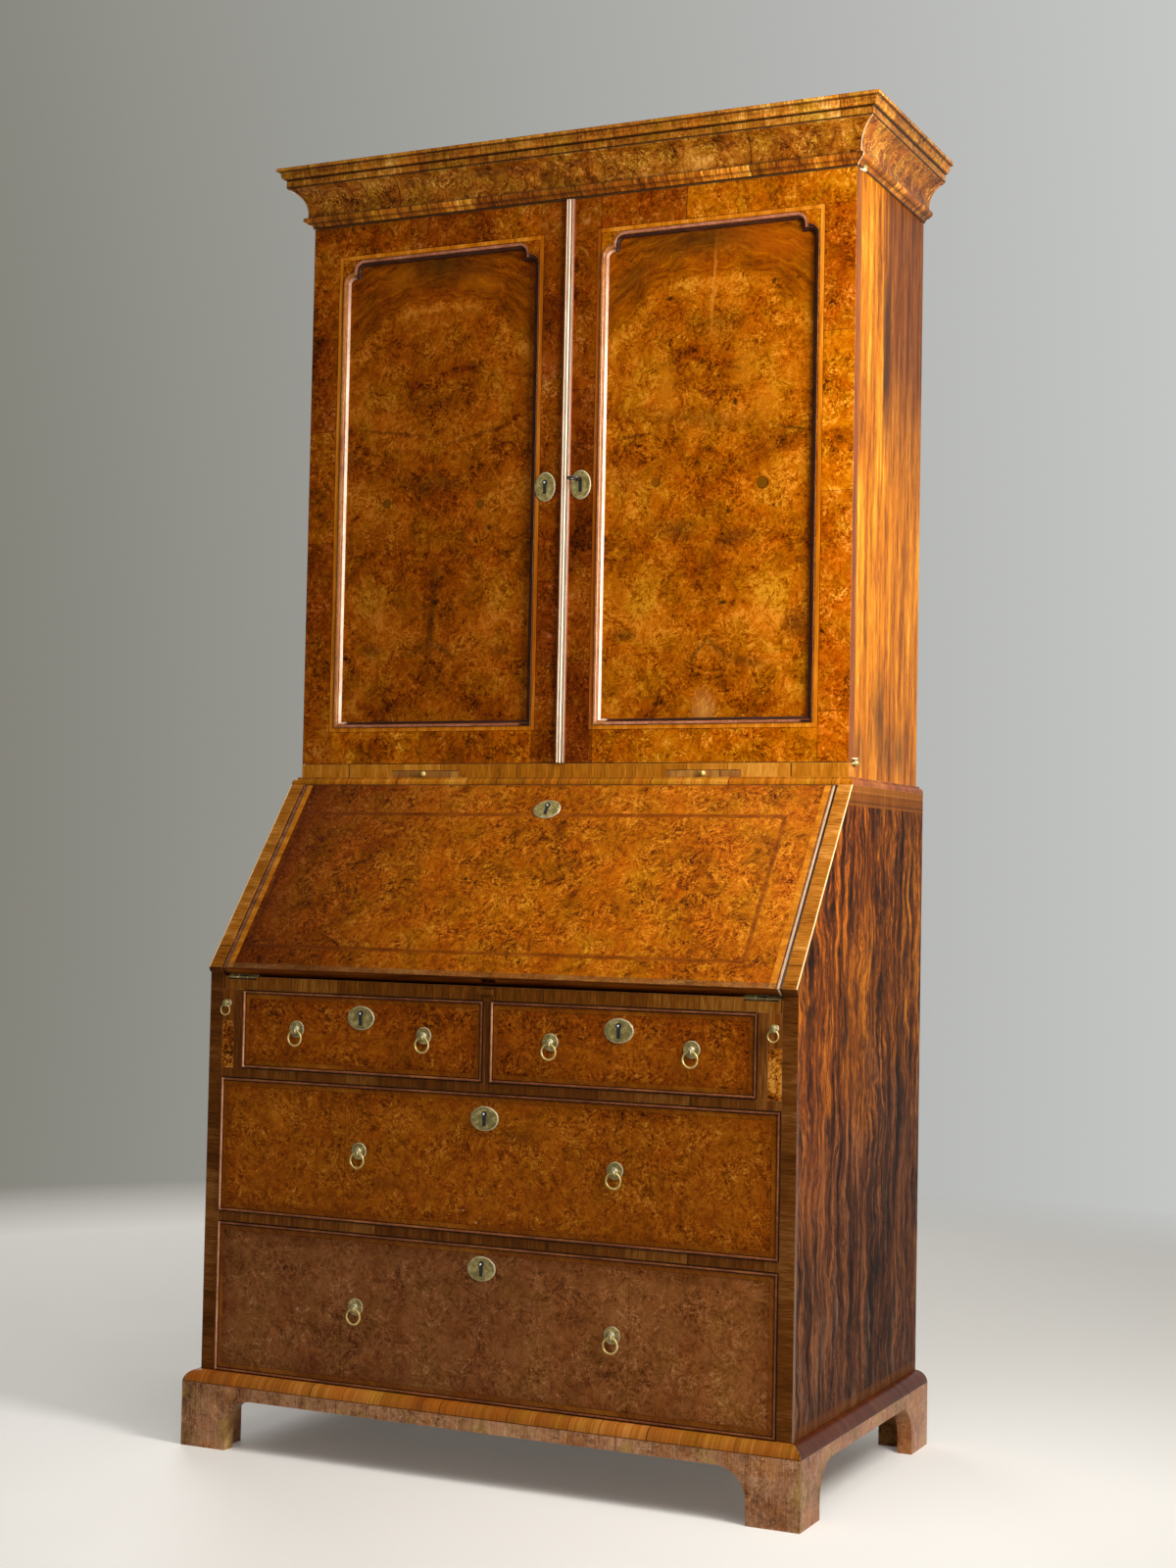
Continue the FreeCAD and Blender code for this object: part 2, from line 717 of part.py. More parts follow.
def loper_pull_mount(x, z):
    """Rose, stem and ball of a loper pull; the hole for its ring widens to both sides."""
    rose = rod(loper_rose_radius, vector(x, 0, z), vector(x, -loper_rose, z))
    stem = rod(loper_stem_radius, vector(x, 0, z), vector(x, -loper_ball_reach, z))
    ball = Part.makeSphere(loper_ball_radius, vector(x, -loper_ball_reach, z))
    half = loper_ball_radius + pin_overrun
    y = -loper_pivot_reach
    pivot_z = z - loper_pivot_drop
    bore = rod(loper_bore_radius, vector(x - half, y, pivot_z), vector(x + half, y, pivot_z))
    flares = []
    for side in (-1, 1):
        start = vector(x + side * loper_bore_straight, y, pivot_z)
        flares.append(Part.makeCone(loper_bore_radius, loper_flare_radius, half - loper_bore_straight, start,
                                    vector(side, 0, 0)))
    return rose.fuse([stem, ball]).cut([bore] + flares).removeSplitter()


def pull_ring(x, y, pivot_z, radius, wire):
    """One ring that hangs from its pivot."""
    return Part.makeTorus(radius, wire, vector(x, y, pivot_z - radius), vector(0, 1, 0))


def oval_wire(x, y, z, half_x, half_z):
    """An upright oval in a plane that faces the front."""
    if half_x > half_z:
        curve = Part.Ellipse(vector(x + half_x, y, z), vector(x, y, z + half_z), vector(x, y, z))
    else:
        curve = Part.Ellipse(vector(x, y, z + half_z), vector(x + half_x, y, z), vector(x, y, z))
    return Part.Wire(curve.toShape())


def key_plate_solid(x, y, z, half_x, half_z):
    """Oval key plate with a bevelled edge and a keyhole."""
    wires = [oval_wire(x, y, z, half_x, half_z), oval_wire(x, y - key_plate_edge, z, half_x, half_z),
             oval_wire(x, y - key_plate, z, half_x - key_plate_bevel, half_z - key_plate_bevel)]
    plate = Part.makeLoft(wires, True, True)
    hole = rod(key_hole_radius, vector(x, y, z + key_axis_rise), vector(x, y - key_plate, z + key_axis_rise))
    slot = block((x - key_hole_half, x + key_hole_half), (y - key_plate, y), (z - key_hole_drop, z))
    return plate.cut([hole, slot]).removeSplitter()


def fall_key_plate():
    """Key plate on the sloping face of the fall."""
    plate = key_plate_solid(0.0, 0.0, 0.0, key_plate_major, key_plate_minor)
    plate.rotate(vector(0, 0, 0), vector(1, 0, 0), math.degrees(slope_angle) - 90)
    plate.translate(vector(0, *slope_point(fall_plate_s, 0)))
    return plate


def knob(x, y, z, radius, neck, reach):
    """A small turned knob that points to the front."""
    ball = Part.makeSphere(radius, vector(x, y - reach + radius, z))
    stem = rod(neck, vector(x, y, z), vector(x, y - reach + radius, z))
    return ball.fuse(stem).removeSplitter()


def base_moulding():
    profile = [(0.0, 0.0), (plinth_projection, 0.0),
               ((base_fillet + base_round * math.sin(math.pi / 4),
                 base_height - base_round + base_round * math.cos(math.pi / 4)), (base_fillet, base_height)),
               (0.0, base_height)]
    return mitred_runs(raised(profile, carcass_bottom_z), half_width, 0.0, carcass_depth, cornice_reach)


def bracket_opening(start, end, run):
    """Outline of the space between two bracket feet, across and up."""
    top = bracket_straight + bracket_rise
    bend = math.pi / 4
    return [(start, 0.0), (end, 0.0), (end, bracket_straight),
            ((end - run + run * math.cos(bend), bracket_straight + bracket_rise * math.sin(bend)), (end - run, top)),
            (start + run, top),
            ((start + run - run * math.cos(bend), bracket_straight + bracket_rise * math.sin(bend)),
             (start, bracket_straight))]


def plinth_solids():
    """Front and side boards of the plinth cut as bracket feet, and the corner blocks."""
    profile = [(-plinth_bearing, 0.0), (plinth_projection, 0.0), (plinth_projection, carcass_bottom_z),
               (-plinth_bearing, carcass_bottom_z)]
    runs = mitred_runs(profile, half_width, 0.0, carcass_depth, cornice_reach, plinth_bearing)
    outer = half_width + plinth_projection
    front_cut = along_y(bracket_opening(foot_width - outer, outer - foot_width, bracket_run_front),
                        (-plinth_projection, plinth_bearing))
    side_cut = along_x(bracket_opening(foot_width - plinth_projection, carcass_depth - foot_width,
                                       bracket_run_side), (-outer, outer))
    boards = [runs[0].cut(front_cut), runs[1].cut(side_cut), runs[2].cut(side_cut)]
    inner = half_width - plinth_bearing
    blocks = pair(block((inner - foot_block, inner), (plinth_bearing, plinth_bearing + foot_block),
                        (0.0, carcass_bottom_z)))
    blocks += pair(block((inner - foot_block, inner), (carcass_depth - foot_block, carcass_depth),
                         (0.0, carcass_bottom_z)))
    return boards + blocks


def waist_moulding():
    return mitred_runs(raised(waist_profile, bureau_top_z), bookcase_half, bookcase_front_y, carcass_depth,
                       cornice_reach)


def inner_case_solids():
    """Case of small drawers and pigeonholes behind the fall."""
    floor_z = writing_top_z
    top_z = bureau_top_z - top_board
    y_pair = (case_front_y, case_back_y)
    ends = pair(block((inner_half - case_board, inner_half), y_pair, (floor_z, top_z)))
    wells = pair(block((case_well_half, case_well_half + case_board), y_pair, (floor_z, case_tier_z)))
    half = inner_half - case_board
    shelf = block((-half, half), y_pair, (case_tier_z, case_tier_z + case_board))
    ceiling = block((-half, half), y_pair, (top_z - case_board, top_z))
    hole_z = (case_tier_z + case_board, top_z - case_board)
    pitch = (half - case_centre_half) / case_side_holes
    pieces = [valance(-case_centre_half, case_centre_half, hole_z[1])]
    for number in range(case_side_holes):
        left = case_centre_half + number * pitch
        pieces += pair(block((left, left + case_partition), y_pair, hole_z))
        pieces += pair(valance(left + case_partition, left + pitch, hole_z[1]))
    return ends + wells + [shelf, ceiling] + pieces


def valance(near, far, top_z):
    """Arched strip at the top of one pigeonhole."""
    middle = (near + far) / 2
    reach = (far - near) / 2 - valance_margin
    low = top_z - valance_height
    arch = [(near, low), (near + valance_margin, low), ((middle, low + min(reach, valance_height) * math.sin(math.pi / 4)),
            (far - valance_margin, low)), (far, low), (far, top_z), (near, top_z)]
    return along_y(arch, (case_front_y, case_front_y + valance_depth))


def inner_drawer():
    """Small drawer in the inner case on the right, with its turned knob."""
    x_pair = (case_well_half + case_board + inner_drawer_gap, inner_half - case_board - inner_drawer_gap)
    z_pair = (writing_top_z + runner_gap, case_tier_z - inner_drawer_gap)
    y_front = case_front_y
    front = block(x_pair, (y_front, y_front + inner_front), z_pair)
    tray = block(x_pair, (y_front + inner_front, inner_back_y), (z_pair[0], z_pair[1] - inner_side))
    hollow = block((x_pair[0] + inner_side, x_pair[1] - inner_side),
                   (y_front + inner_front, inner_back_y - inner_side), (z_pair[0] + inner_side, z_pair[1]))
    middle_x = (x_pair[0] + x_pair[1]) / 2
    middle_z = (z_pair[0] + z_pair[1]) / 2
    turned = knob(middle_x, y_front, middle_z, inner_knob_radius, inner_knob_neck, inner_knob_reach)
    return front.fuse([tray.cut(hollow), turned]).removeSplitter()


def hinge_axis_rod(radius, z_pair):
    """A round bar on the line a door turns on."""
    return rod(radius, vector(door_pivot_x, door_pivot_y, z_pair[0]), vector(door_pivot_x, door_pivot_y, z_pair[1]))


def hinge_room_cuts():
    """Room for the hinge balls and eyes at the corner of the carcass."""
    top = hinge_axis_rod(ball_room, (door_eye_top_z - pin_overrun, ball_top_z + ball_room))
    bottom = hinge_axis_rod(ball_room, (ball_bottom_z - ball_room, door_eye_bottom_z + hinge_plate + pin_overrun))
    return [top, bottom]


def ball_notch_cut():
    """Round notch in the mouldings beside the top ball."""
    start = vector(door_pivot_x - ball_room, door_pivot_y, ball_top_z)
    return rod(ball_notch, start, vector(door_pivot_x + cornice_reach, door_pivot_y, ball_top_z))


def hinge_plate_solid(eye_z):
    """Plate with an eye, let into the door or the carcass."""
    z_pair = (eye_z, eye_z + hinge_plate)
    plate = block(hinge_plate_x, hinge_plate_y, z_pair)
    eye = hinge_axis_rod(hinge_eye_radius, z_pair)
    neck = along_z([(hinge_plate_x[1], hinge_neck_y), (door_pivot_x + hinge_eye_radius, door_pivot_y),
                    (door_pivot_x, door_pivot_y), (hinge_plate_x[1], hinge_plate_y[1])], z_pair)
    link = block((hinge_plate_x[1] - hinge_eye_radius, hinge_plate_x[1]), hinge_plate_y, z_pair)
    return plate.fuse([eye, neck, link]).removeSplitter()


def door_plate(eye_z):
    """Hinge plate of a door, with its bore."""
    bore = hinge_axis_rod(hinge_bore_radius, (eye_z, eye_z + hinge_plate))
    return hinge_plate_solid(eye_z).cut(bore).removeSplitter()


def fixed_pin(eye_z, ball_z, far_z):
    """Hinge plate of the carcass with its ball and pin."""
    centre = vector(door_pivot_x, door_pivot_y, ball_z)
    ball = Part.makeSphere(ball_radius, centre)
    pin = rod(hinge_pin_radius, centre, vector(door_pivot_x, door_pivot_y, far_z))
    return hinge_plate_solid(eye_z).fuse([ball, pin]).removeSplitter()


def top_pin():
    return fixed_pin(fixed_eye_top_z, ball_top_z, door_eye_top_z - pin_overrun)


def bottom_pin():
    return fixed_pin(fixed_eye_bottom_z, ball_bottom_z, door_eye_bottom_z + hinge_plate + pin_overrun)


def bookcase_side_solid():
    side = block((bookcase_half - bookcase_side, bookcase_half), (bookcase_side_front_y, carcass_depth),
                 (bureau_top_z, bookcase_side_top_z))
    return side.cut(hinge_room_cuts() + [ball_notch_cut()])


def slide_rail():
    """Front rail under the doors with the openings of the two candle slides."""
    rail = block((-bookcase_half, bookcase_half), (bookcase_front_y, bookcase_side_front_y),
                 (bureau_top_z, slide_rail_top_z))
    opening = block(slide_opening_x, (bookcase_front_y, bookcase_side_front_y), slide_opening_z)
    tools = pair(opening) + pair(hinge_room_cuts()[1]) + pair(hinge_plate_solid(fixed_eye_bottom_z))
    return rail.cut(tools)


def bookcase_boards():
    """Bottom and top boards of the bookcase and the guides of the candle slides."""
    half = bookcase_half - bookcase_side
    y_pair = (bookcase_side_front_y, panel_back_y)
    bottom = block((-half, half), y_pair, (bookcase_bottom_z, slide_rail_top_z))
    top = block((-half, half), y_pair, bookcase_top_z)
    near, far = slide_opening_x
    guide_y = (bookcase_side_front_y, slide_back_y)
    bed = block((near - slide_guide, far + slide_guide), guide_y, (bureau_top_z, slide_opening_z[0]))
    cheeks = [block((near - slide_guide, near), guide_y, (slide_opening_z[0], bookcase_bottom_z)),
              block((far, far + slide_guide), guide_y, (slide_opening_z[0], bookcase_bottom_z))]
    guides = []
    for piece in [bed] + cheeks:
        guides.extend(pair(piece))
    return [bottom, top] + guides


def candle_slide():
    x_pair = (slide_opening_x[0] + slide_gap, slide_opening_x[1] - slide_gap)
    z_pair = (slide_opening_z[0] + slide_rise, slide_opening_z[1] - slide_gap)
    return block(x_pair, (bookcase_front_y, slide_back_y), z_pair)


def candle_knob():
    z = (slide_opening_z[0] + slide_opening_z[1]) / 2
    return knob(slide_knob_x, bookcase_front_y, z, slide_knob_radius, slide_knob_neck, slide_knob_reach)


def shelf_solids():
    """Shelves of the bookcase and the battens they rest on."""
    half = bookcase_half - bookcase_side
    y_pair = (shelf_front_y, panel_back_y)
    pieces = []
    for height in shelf_heights:
        pieces.append(block((shelf_gap - half, half - shelf_gap), y_pair, (height, height + shelf_board)))
        pieces.extend(pair(block((half - batten_width, half), y_pair, (height - batten_height, height))))
    return pieces


def cornice_bead():
    runs = mitred_runs(raised(cornice_bead_profile, cornice_bottom_z), bookcase_half, bookcase_front_y,
                       carcass_depth, cornice_reach)
    tools = pair(ball_notch_cut()) + pair(hinge_plate_solid(fixed_eye_top_z))
    return [run.cut(tools) for run in runs]


def cornice_frieze():
    base = cornice_bottom_z + cornice_bead_height
    return mitred_runs(raised(cornice_frieze_profile, base), bookcase_half, bookcase_front_y, carcass_depth,
                       cornice_reach)


def cornice_crown():
    base = cornice_bottom_z + cornice_bead_height + cornice_frieze_height
    return mitred_runs(raised(cornice_crown_profile, base), bookcase_half, bookcase_front_y, carcass_depth,
                       cornice_reach)


def cornice_frame():
    """Board behind the front of the cornice and the dust cover on top."""
    fascia = block((-bookcase_half, bookcase_half), (bookcase_front_y, bookcase_side_front_y),
                   (cornice_bottom_z, bookcase_side_top_z))
    tools = pair(hinge_room_cuts()[0]) + pair(ball_notch_cut()) + pair(hinge_plate_solid(fixed_eye_top_z))
    cover = block((-bookcase_half, bookcase_half), (bookcase_front_y, carcass_depth),
                  (bookcase_side_top_z, bookcase_side_top_z + cover_board))
    return [fascia.cut(tools), cover]


def sight_outline(inset):
    """Outline of the door opening on the right door, with lobed upper corners, drawn in by an inset."""
    x0, x1 = sight_inner_x, sight_outer_x
    z0, z1 = sight_z
    lobe = sight_lobe
    small = (lobe - inset) * math.sin(math.pi / 4)
    return [(x0 + inset, z0 + inset), (x1 - inset, z0 + inset), (x1 - inset, z1 - 2 * lobe),
            ((x1 - lobe + small, z1 - 2 * lobe + small), (x1 - lobe, z1 - lobe - inset)),
            (x1 - lobe - inset, z1 - lobe - inset), (x1 - lobe - inset, z1 - lobe),
            ((x1 - 2 * lobe + small, z1 - lobe + small), (x1 - 2 * lobe, z1 - inset)),
            (x0 + 2 * lobe, z1 - inset),
            ((x0 + 2 * lobe - small, z1 - lobe + small), (x0 + lobe + inset, z1 - lobe)),
            (x0 + lobe + inset, z1 - lobe - inset), (x0 + lobe, z1 - lobe - inset),
            ((x0 + lobe - small, z1 - 2 * lobe + small), (x0 + inset, z1 - 2 * lobe))]


def door_members(x_pair):
    """Stiles and rails of a door whose opening is on the right, before the hinge recesses."""
    y_pair = (bookcase_front_y, door_back_y)
    near = sight_inner_x + sight_step
    far = sight_outer_x - sight_step
    low = sight_z[0] + sight_step
    shoulder = sight_z[1] - 2 * sight_lobe
    opening = along_y(sight_outline(sight_step), y_pair)
    stiles = [block((x_pair[0], near), y_pair, door_z), block((far, x_pair[1]), y_pair, door_z)]
    bottom = block((near, far), y_pair, (door_z[0], low))
    top = block((near, far), y_pair, (shoulder, door_z[1])).cut(opening)
    return stiles, [bottom, top]


def door_moulding():
    """Moulding round the panel: a bead on the outer edge, a quirk and an ovolo down to the panel."""
    front = bookcase_front_y - door_moulding_proud
    outer = along_y(sight_outline(sight_step + sight_fit), (front, panel_face_y))
    lead = [(-2 * door_moulding_proud, sight_sections[0][1])]
    wires = []
    for back, inset in lead + sight_sections:
        wires.append(closed_wire(sight_outline(inset), lambda x, z, y=bookcase_front_y + back: vector(x, y, z)))
    return outer.cut(Part.makeLoft(wires, True, True))


def door_panel():
    return along_y(sight_outline(sight_step + sight_fit), (panel_face_y, panel_face_y + panel_board))


def door_hinge_cuts():
    """Recesses in a door for its two hinge plates and the bottom ball."""
    ball_space = hinge_axis_rod(ball_room, (door_z[0], door_eye_bottom_z))
    return [hinge_plate_solid(door_eye_top_z), hinge_plate_solid(door_eye_bottom_z), ball_space]


def key_shaft_bore():
    z = door_key_z + key_axis_rise
    return rod(key_shaft_room, vector(door_key_x, bookcase_front_y, z), vector(door_key_x, door_back_y, z))


def right_door_frame():
    stiles, rails = door_members(right_door_x)
    cuts = door_hinge_cuts() + [key_shaft_bore()]
    return [stile.cut(cuts) for stile in stiles] + rails + [door_moulding()]


def left_door_frame():
    stiles, rails = door_members((-left_door_x[1], -left_door_x[0]))
    cuts = door_hinge_cuts()
    pieces = [stile.cut(cuts) for stile in stiles] + rails + [door_moulding()]
    return [mirrored(piece) for piece in pieces]


def astragal():
    front = bookcase_front_y
    entries = placed(astragal_profile, lambda x, y: (x, front + y))
    return along_z(entries, door_z)


def lock_case():
    """Hollow lock box on the back of the right door, open where the bolt comes out."""
    y_pair = (door_back_y, door_back_y + lock_depth)
    shell = block(lock_x, y_pair, lock_z)
    hollow = block((lock_x[0] + lock_wall, lock_x[1] - lock_wall), (y_pair[0] + lock_wall, y_pair[1] - lock_wall),
                   (lock_z[0] + lock_wall, lock_z[1] - lock_wall))
    mouth = block((lock_x[0], lock_x[0] + lock_wall), (bolt_y[0] - bolt_gap, bolt_y[1] + bolt_gap),
                  (bolt_z[0] - bolt_gap, bolt_z[1] + bolt_gap))
    z = door_key_z + key_axis_rise
    key_way = rod(key_shaft_room, vector(door_key_x, y_pair[0], z), vector(door_key_x, y_pair[0] + lock_wall, z))
    return shell.cut([hollow, mouth, key_way])


def bolt_keeper():
    """Keeper on the back of the left door that takes the bolt."""
    y_pair = (door_back_y, bolt_y[1] + keeper_wall)
    z_pair = (bolt_z[0] - keeper_wall, bolt_z[1] + keeper_wall)
    body = block(keeper_x, y_pair, z_pair)
    pocket = block((keeper_x[0] + keeper_wall, keeper_x[1]), (bolt_y[0] - bolt_gap, bolt_y[1] + bolt_gap),
                   (bolt_z[0] - bolt_gap, bolt_z[1] + bolt_gap))
    return body.cut(pocket)


def door_bolt():
    return block(bolt_x, bolt_y, bolt_z)


def door_key():
    """Key in the right door: bow, collar, shaft and bit."""
    z = door_key_z + key_axis_rise
    x = door_key_x
    shaft = rod(key_shaft_radius, vector(x, key_neck_y - key_bow_wire / 2, z), vector(x, key_tip_y, z))
    collar = rod(key_collar_radius, vector(x, key_neck_y, z), vector(x, key_neck_y + key_collar_length, z))
    bow = Part.makeTorus(key_bow_radius, key_bow_wire,
                         vector(x, key_neck_y - key_bow_radius, z), vector(0, 0, 1))
    wide, deep, long_ = key_bit
    bit = block((x - wide / 2, x + wide / 2), (key_tip_y - long_, key_tip_y), (z - deep, z))
    return shaft.fuse([collar, bow, bit]).removeSplitter()


def door_brass(x_plate, plates):
    plate = key_plate_solid(x_plate, bookcase_front_y, door_key_z, key_plate_minor, key_plate_major)
    return [plate] + plates


def write_carcass():
    write("bureau_sides", pair(bureau_side()))
    write("bureau_bottom", [block((-inner_half, inner_half), (0.0, panel_back_y),
                                  (carcass_bottom_z, carcass_bottom_z + bottom_board))])
    write("bureau_top", [bureau_top()])
    write("bureau_back", back_boards(inner_half, (carcass_bottom_z, bureau_top_z)))
    write("writing_board", writing_board_solids())
    write("drawer_rails", drawer_rail_solids())
    write("drawer_guides", drawer_guide_solids())
    write("waist_moulding", waist_moulding())
    write("base_moulding", base_moulding())
    write("plinth", plinth_solids())
    write("inner_case", inner_case_solids())
    write("fall_hinge_plates", pair(fixed_fall_leaf()))


def write_bookcase():
    write("bookcase_sides", pair(bookcase_side_solid()))
    write("bookcase_boards", bookcase_boards())
    write("bookcase_back", back_boards(bookcase_half - bookcase_side, (bureau_top_z, bookcase_side_top_z)))
    write("slide_rail", [slide_rail()])
    write("bookcase_shelves", shelf_solids())
    write("cornice_crown", cornice_crown())
    write("cornice_frieze", cornice_frieze() + cornice_bead())
    write("cornice_frame", cornice_frame())
    write("door_pins", pair(top_pin()) + pair(bottom_pin()))


def write_doors():
    plates = [door_plate(door_eye_top_z), door_plate(door_eye_bottom_z)]
    left_plates = [mirrored(plate) for plate in plates]
    write("door_left_frame", left_door_frame())
    write("door_left_panel", [mirrored(door_panel())])
    write("door_left_brass", door_brass(door_plate_left_x, left_plates + [bolt_keeper()]))
    write("door_right_frame", right_door_frame())
    write("door_right_panel", [door_panel()])
    write("door_right_brass", door_brass(door_key_x, plates + [lock_case()]))
    write("door_astragal", [astragal()])
    write("door_bolt", [door_bolt()])
    write("door_key", [door_key()])


def write_fall():
    write("fall_board", [fall_board()])
    write("fall_brass", [fall_key_plate(), fall_lock()] + pair(moving_fall_leaf()))


def write_drawers():
    small = (small_inner_x, small_outer_x)
    small_left = (-small_outer_x, -small_inner_x)
    long_ = (front_gap - inner_half, inner_half - front_gap)
    drawers = {"drawer_small_left": (small_left, small_z, upper_rail_z[1]),
               "drawer_small_right": (small, small_z, upper_rail_z[1]),
               "drawer_long_top": (long_, long_top_z, lower_rail_z[1]),
               "drawer_long_bottom": (long_, long_bottom_z, carcass_bottom_z + bottom_board)}
    for name, sizes in drawers.items():
        write(name, drawer(*sizes))


def pull_places():
    """Names and places of the ring pulls on each drawer, with the key plate place."""
    near, far = small_pull_x
    return {"drawer_small_left": ([("outer", -far, small_pull_z), ("inner", -near, small_pull_z)],
                                  (-small_key_x, small_key_z)),
            "drawer_small_right": ([("inner", near, small_pull_z), ("outer", far, small_pull_z)],
                                   (small_key_x, small_key_z)),
            "drawer_long_top": ([("left", -long_pull_x, long_top_pull_z), ("right", long_pull_x, long_top_pull_z)],
                                (0.0, long_top_key_z)),
            "drawer_long_bottom": ([("left", -long_pull_x, long_bottom_pull_z),
                                    ("right", long_pull_x, long_bottom_pull_z)], (0.0, long_bottom_key_z))}


def write_pulls():
    for name, (pulls, key_place) in pull_places().items():
        brass = [key_plate_solid(key_place[0], 0.0, key_place[1], key_plate_major, key_plate_minor)]
        for side, x, z in pulls:
            brass.append(pull_mount(x, z))
            ring = pull_ring(x, -pull_pivot_reach, z - pull_pivot_drop, ring_radius, ring_wire)
            write(name.replace("drawer", "ring") + "_" + side, [ring])
        write(name + "_brass", brass)


def write_slides():
    loper = block(loper_x, (0.0, loper_back_y), loper_z)
    mount = loper_pull_mount(loper_pull_x, loper_pull_z)
    ring = pull_ring(loper_pull_x, -loper_pivot_reach, loper_pull_z - loper_pivot_drop, loper_ring_radius,
                     loper_ring_wire)
    pieces = {"loper": loper, "loper_brass": mount, "ring_loper": ring, "candle_slide": candle_slide(),
              "candle_knob": candle_knob(), "inner_drawer": inner_drawer()}
    for name, shape in pieces.items():
        write(name + "_left", [mirrored(shape)])
        write(name + "_right", [shape])


def main():
    os.makedirs("parts", exist_ok=True)
    write_carcass()
    write_bookcase()
    write_doors()
    write_fall()
    write_drawers()
    write_pulls()
    write_slides()


main()
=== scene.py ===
import json
import math
import bmesh
import bpy
from mathutils import Matrix, Vector


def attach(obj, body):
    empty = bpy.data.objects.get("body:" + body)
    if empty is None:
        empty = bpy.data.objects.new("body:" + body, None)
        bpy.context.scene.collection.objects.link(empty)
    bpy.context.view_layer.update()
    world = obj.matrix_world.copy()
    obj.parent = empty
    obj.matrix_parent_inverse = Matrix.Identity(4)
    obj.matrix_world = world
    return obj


bl_info = {
    "name": "Bureau bookcase",
    "version": (1, 0, 0),
    "blender": (4, 5, 0),
    "location": "3D View > Sidebar > Bureau",
    "description": "Veneers, brass and small fittings of a walnut bureau bookcase in two parts",
    "category": "Object",
}

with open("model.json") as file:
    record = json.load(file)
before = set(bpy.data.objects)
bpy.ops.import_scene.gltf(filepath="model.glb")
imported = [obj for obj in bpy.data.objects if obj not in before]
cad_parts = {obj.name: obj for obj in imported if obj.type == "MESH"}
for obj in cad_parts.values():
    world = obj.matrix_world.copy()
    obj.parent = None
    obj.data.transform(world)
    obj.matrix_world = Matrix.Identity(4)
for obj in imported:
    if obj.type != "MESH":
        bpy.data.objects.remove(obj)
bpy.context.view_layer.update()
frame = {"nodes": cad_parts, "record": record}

# Places in metres, in the frame of the model: front faces, half widths, the slope and lower edge of the fall
door_face_y = -0.0420
drawer_face_y = -0.2790
bookcase_half = 0.4880
bureau_half = 0.5000
slope_angle = math.radians(52.76)
lip = (-0.2855, 0.7575)

# Ways along the slope of the fall and into it
up_slope = (0.0, math.cos(slope_angle), math.sin(slope_angle))
into_slope = (0.0, math.sin(slope_angle), -math.cos(slope_angle))

# A door, measured outwards from the joint between both: its middle, the opening of its sight moulding, the
# string round that, its stiles, of which the left door's is covered by the astragal, and its rails
door_joint_x = 0.2460
sight_x = (0.0550, 0.4290)
sight_z = (1.1544, 1.9516)
string_x = (0.0486, 0.4364)
string_z = (1.1482, 1.9590)
outer_stile = (string_x[1], 0.4890)
meeting_stile = (-0.0080, string_x[0])
covered_stile = (0.0, string_x[0])
lower_rail = (1.0900, string_z[0])
upper_rail = (string_z[1], 2.0200)

# The photograph's camera: turn, tilt and roll in degrees, place in metres, focal length in the photo's pixels
camera_angles = (-25.30774, 2.36110, 1.10774)
camera_place = (1.6472, -3.4203, 0.9065)
focal_length = 2383.342
photo_height = 1600

# A tint that changes nothing
PLAIN = (1.0, 1.0, 1.0, 1.0)

# What makes a mix node mix colours; its factor is input 0, its colours are inputs 6 and 7
COLOUR = {"data_type": "RGBA", "out": 2}


def linear(code):
    """Linear colour of an sRGB hex value."""
    parts = [int(code[i:i + 2], 16) / 255 for i in (1, 3, 5)]
    return tuple(p / 12.92 if p <= 0.04045 else ((p + 0.055) / 1.055) ** 2.4 for p in parts) + (1.0,)


def per(millimetres):
    """Scale of a texture whose cells are this wide."""
    return 1000 / millimetres


def add(tree, kind, inputs=(), out=0, stops=(), **settings):
    """Add one node, set or link its inputs, and return one of its outputs, or the node."""
    node = tree.nodes.new("ShaderNode" + kind)
    for name, value in settings.items():
        setattr(node, name, value)
    for key, value in inputs.items() if isinstance(inputs, dict) else enumerate(inputs):
        if isinstance(value, bpy.types.NodeSocket):
            tree.links.new(value, node.inputs[key])
        else:
            node.inputs[key].default_value = value
    for number, (position, colour) in enumerate(stops):
        points = node.color_ramp.elements
        point = points[number] if number < 2 else points.new(position)
        point.position = position
        point.color = colour
    return node if out is None else node.outputs[out]


def place(tree):
    """The place on the piece as a vector and as its three parts."""
    spot = add(tree, "TexCoord", out="Object")
    return (spot, *add(tree, "SeparateXYZ", (spot,), out=None).outputs)


def weigh(tree, parts, start):
    """Sum of patterns, each times its share."""
    total = start
    for value, share in parts:
        total = add(tree, "Math", (value, share, total), operation="MULTIPLY_ADD")
    return total


def band(tree, value, low, high, soft=0.0004):
    """1 where the value lies between low and high, with soft sides."""
    rise = add(tree, "MapRange", (value, low - soft, low + soft))
    drop = add(tree, "MapRange", (value, high - soft, high + soft, 1.0, 0.0))
    return add(tree, "Math", (rise, drop), operation="MULTIPLY")


def both(tree, *masks):
    """Where all masks are set; a plain number among them is a strength."""
    total = masks[0]
    for mask in masks[1:]:
        total = add(tree, "Math", (total, mask), operation="MULTIPLY")
    return total


def away_from(tree, value, middle):
    """Distance of a value from a middle."""
    gap = add(tree, "Math", (value, middle), operation="SUBTRACT")
    return add(tree, "Math", (gap,), operation="ABSOLUTE")


